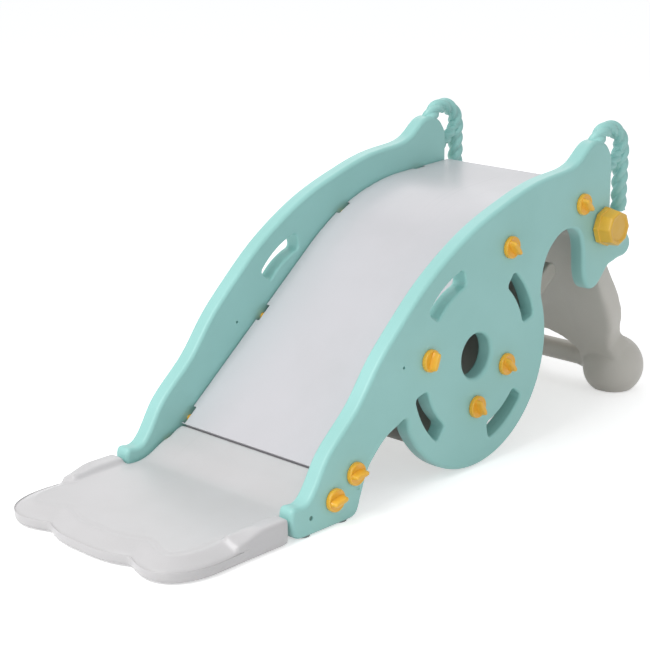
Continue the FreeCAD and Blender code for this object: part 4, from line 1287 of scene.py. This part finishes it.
@dataclass
class Hardware:
    """The small pieces that keep their CAD shape, with eased edges."""

    ease: float = 0.0004
    kinds: dict[str, tuple[Finish, str]] = field(default_factory=lambda: {
        "bolt_sockets_left": (Finish.SOCKET, "socket"), "bolt_sockets_right": (Finish.SOCKET, "socket"),
        "pivot_bush_left": (Finish.WASHER, "bush"), "pivot_bush_right": (Finish.WASHER, "bush"),
        "clamp_washer_left": (Finish.WASHER, "washer"), "clamp_washer_right": (Finish.WASHER, "washer"),
        # The vent plugs' dark mint is painted shade of their recesses.
        "vent_plugs": (Finish.PLUG, "vent_plug"), "seam_screws": (Finish.SCREW, "screw"),
        "pivot_tube": (Finish.TUBE, "tube"), "ladder_foot_pads": (Finish.PAD, "pad"),
        "panel_foot_pads": (Finish.PAD, "pad"), "run_out_pads": (Finish.PAD, "pad")})

    def build(self) -> list[bpy.types.Object]:
        """Makes each piece in place of its CAD node."""
        made = []
        for node, (finish, slot) in self.kinds.items():
            piece = eased(welded(f"{node}_piece", [node], finish), self.ease, 2)
            body = Rides.LADDER if node.startswith("ladder") else Rides.FRAME
            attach(piece, body.value)
            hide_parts(node)
            made.append(piece)
        return made


# ---------------------------------------------------------------- studio
@dataclass
class Studio:
    """A pale floor, soft lights and the camera."""

    eye: tuple[float, float, float] = (-2.4165, -2.1711, 1.2062)
    look: tuple[float, float, float] = (0.6993, 0.6577, -0.2801)
    lens: float = 94.6
    ambient: float = 0.55
    floor_lift: float = 0.52

    def floor(self) -> bpy.types.Object:
        """A plain pale floor."""
        mesh = bpy.data.meshes.new("floor")
        mesh.from_pydata([(-30, -30, 0), (30, -30, 0), (30, 30, 0), (-30, 30, 0)], [], [(0, 1, 2, 3)])
        shader = Shader("pale_floor")
        path = [shader.node("ShaderNodeLightPath", output=f"Is {ray} Ray") for ray in ("Camera", "Glossy")]
        shader.feed(Base_Color=(0.86, 0.86, 0.86, 1.0), Roughness=0.9, Specular_IOR_Level=0.0)
        shader.feed(Emission_Color=shader.blend(path[0] + path[1], (0.0, 0.0, 0.0), (1.0, 1.0, 1.0)))
        shader.feed(Emission_Strength=self.floor_lift)
        floor = bpy.data.objects.new("floor", mesh)
        mesh.materials.append(shader.material)
        bpy.context.scene.collection.objects.link(floor)
        return floor

    def world(self) -> None:
        """Even light from all round, white where it is seen."""
        world = bpy.data.worlds.new("studio")
        bpy.context.scene.world = world
        world.use_nodes = True
        tree = world.node_tree
        tree.nodes.clear()
        path = tree.nodes.new("ShaderNodeLightPath")
        seen = Flow(tree, path.outputs["Is Camera Ray"]) + Flow(tree, path.outputs["Is Glossy Ray"])
        seen = seen + Flow(tree, path.outputs["Is Transmission Ray"])
        light, white = (tree.nodes.new("ShaderNodeBackground") for _ in range(2))
        light.inputs["Strength"].default_value = self.ambient
        light.inputs["Color"].default_value = (0.97, 0.985, 1.0, 1.0)
        white.inputs["Strength"].default_value = 1.0
        mix = tree.nodes.new("ShaderNodeMixShader")
        output = tree.nodes.new("ShaderNodeOutputWorld")
        tree.links.new(seen.socket, mix.inputs[0])
        tree.links.new(light.outputs[0], mix.inputs[1])
        tree.links.new(white.outputs[0], mix.inputs[2])
        tree.links.new(mix.outputs[0], output.inputs[0])

    @staticmethod
    def lamp(name: str, place: Sequence[float], target: Sequence[float], size: float, power: float) -> None:
        """Adds a square soft light.

        Args:
            name: its name.
            place: where it is.
            target: where it points.
            size: of its side.
            power: in watts.
        """
        data = bpy.data.lights.new(name, "AREA")
        data.size = size
        data.energy = power
        lamp = bpy.data.objects.new(name, data)
        lamp.location = place
        lamp.rotation_euler = (Vector(target) - Vector(place)).to_track_quat("-Z", "Y").to_euler()
        bpy.context.scene.collection.objects.link(lamp)

    def camera(self) -> None:
        """The camera at the viewing angle."""
        data = bpy.data.cameras.new("camera")
        data.lens = self.lens
        data.sensor_width = 36.0
        data.clip_end = 200.0
        camera = bpy.data.objects.new("camera", data)
        camera.location = self.eye
        camera.rotation_euler = Vector(self.look).to_track_quat("-Z", "Y").to_euler()
        bpy.context.scene.collection.objects.link(camera)
        bpy.context.scene.camera = camera

    def build(self) -> None:
        """Sets up everything that is not part of the slide."""
        self.floor()
        self.world()
        self.lamp("key", (-2.9, 0.3, 3.0), (0.0, 0.0, 0.2), 2.4, 92.0)
        self.lamp("fill", (-2.6, -3.4, 1.6), (0.0, 0.0, 0.2), 2.4, 9.0)
        self.lamp("back", (2.6, 2.4, 2.6), (0.0, 0.0, 0.3), 2.4, 17.0)
        self.camera()
        bpy.context.scene.view_settings.view_transform = "Standard"


def main() -> None:
    """Builds the slide round its frame."""
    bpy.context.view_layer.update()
    Studio().build()
    joint = next(j for j in frame["joints"] if j["name"] == "ladder_fold")
    pivot = Vector(joint["pos_m"])
    wheel_x = pivot.x - 0.409
    steps: list[tuple[str, Callable[[], object]]] = []
    for side in Side:
        steps += [(f"{side.word} panel", lambda side=side: SidePanel(side).build(wheel_x)),
                  (f"{side.word} rope", RopeHandle(side, pivot).build),
                  (f"{side.word} bolts", WingBolts(side).build),
                  (f"{side.word} knob", ClampKnob(side, pivot).build)]
    steps += [("boards", Boards().build), ("run-out", RunOut().build), ("ladder", Ladder().build),
              ("hardware", Hardware().build)]
    for name, step in steps:
        step()
        log.info("made %s", name)


if __name__ == "__main__":
    logging.basicConfig(level=logging.INFO)
    main()
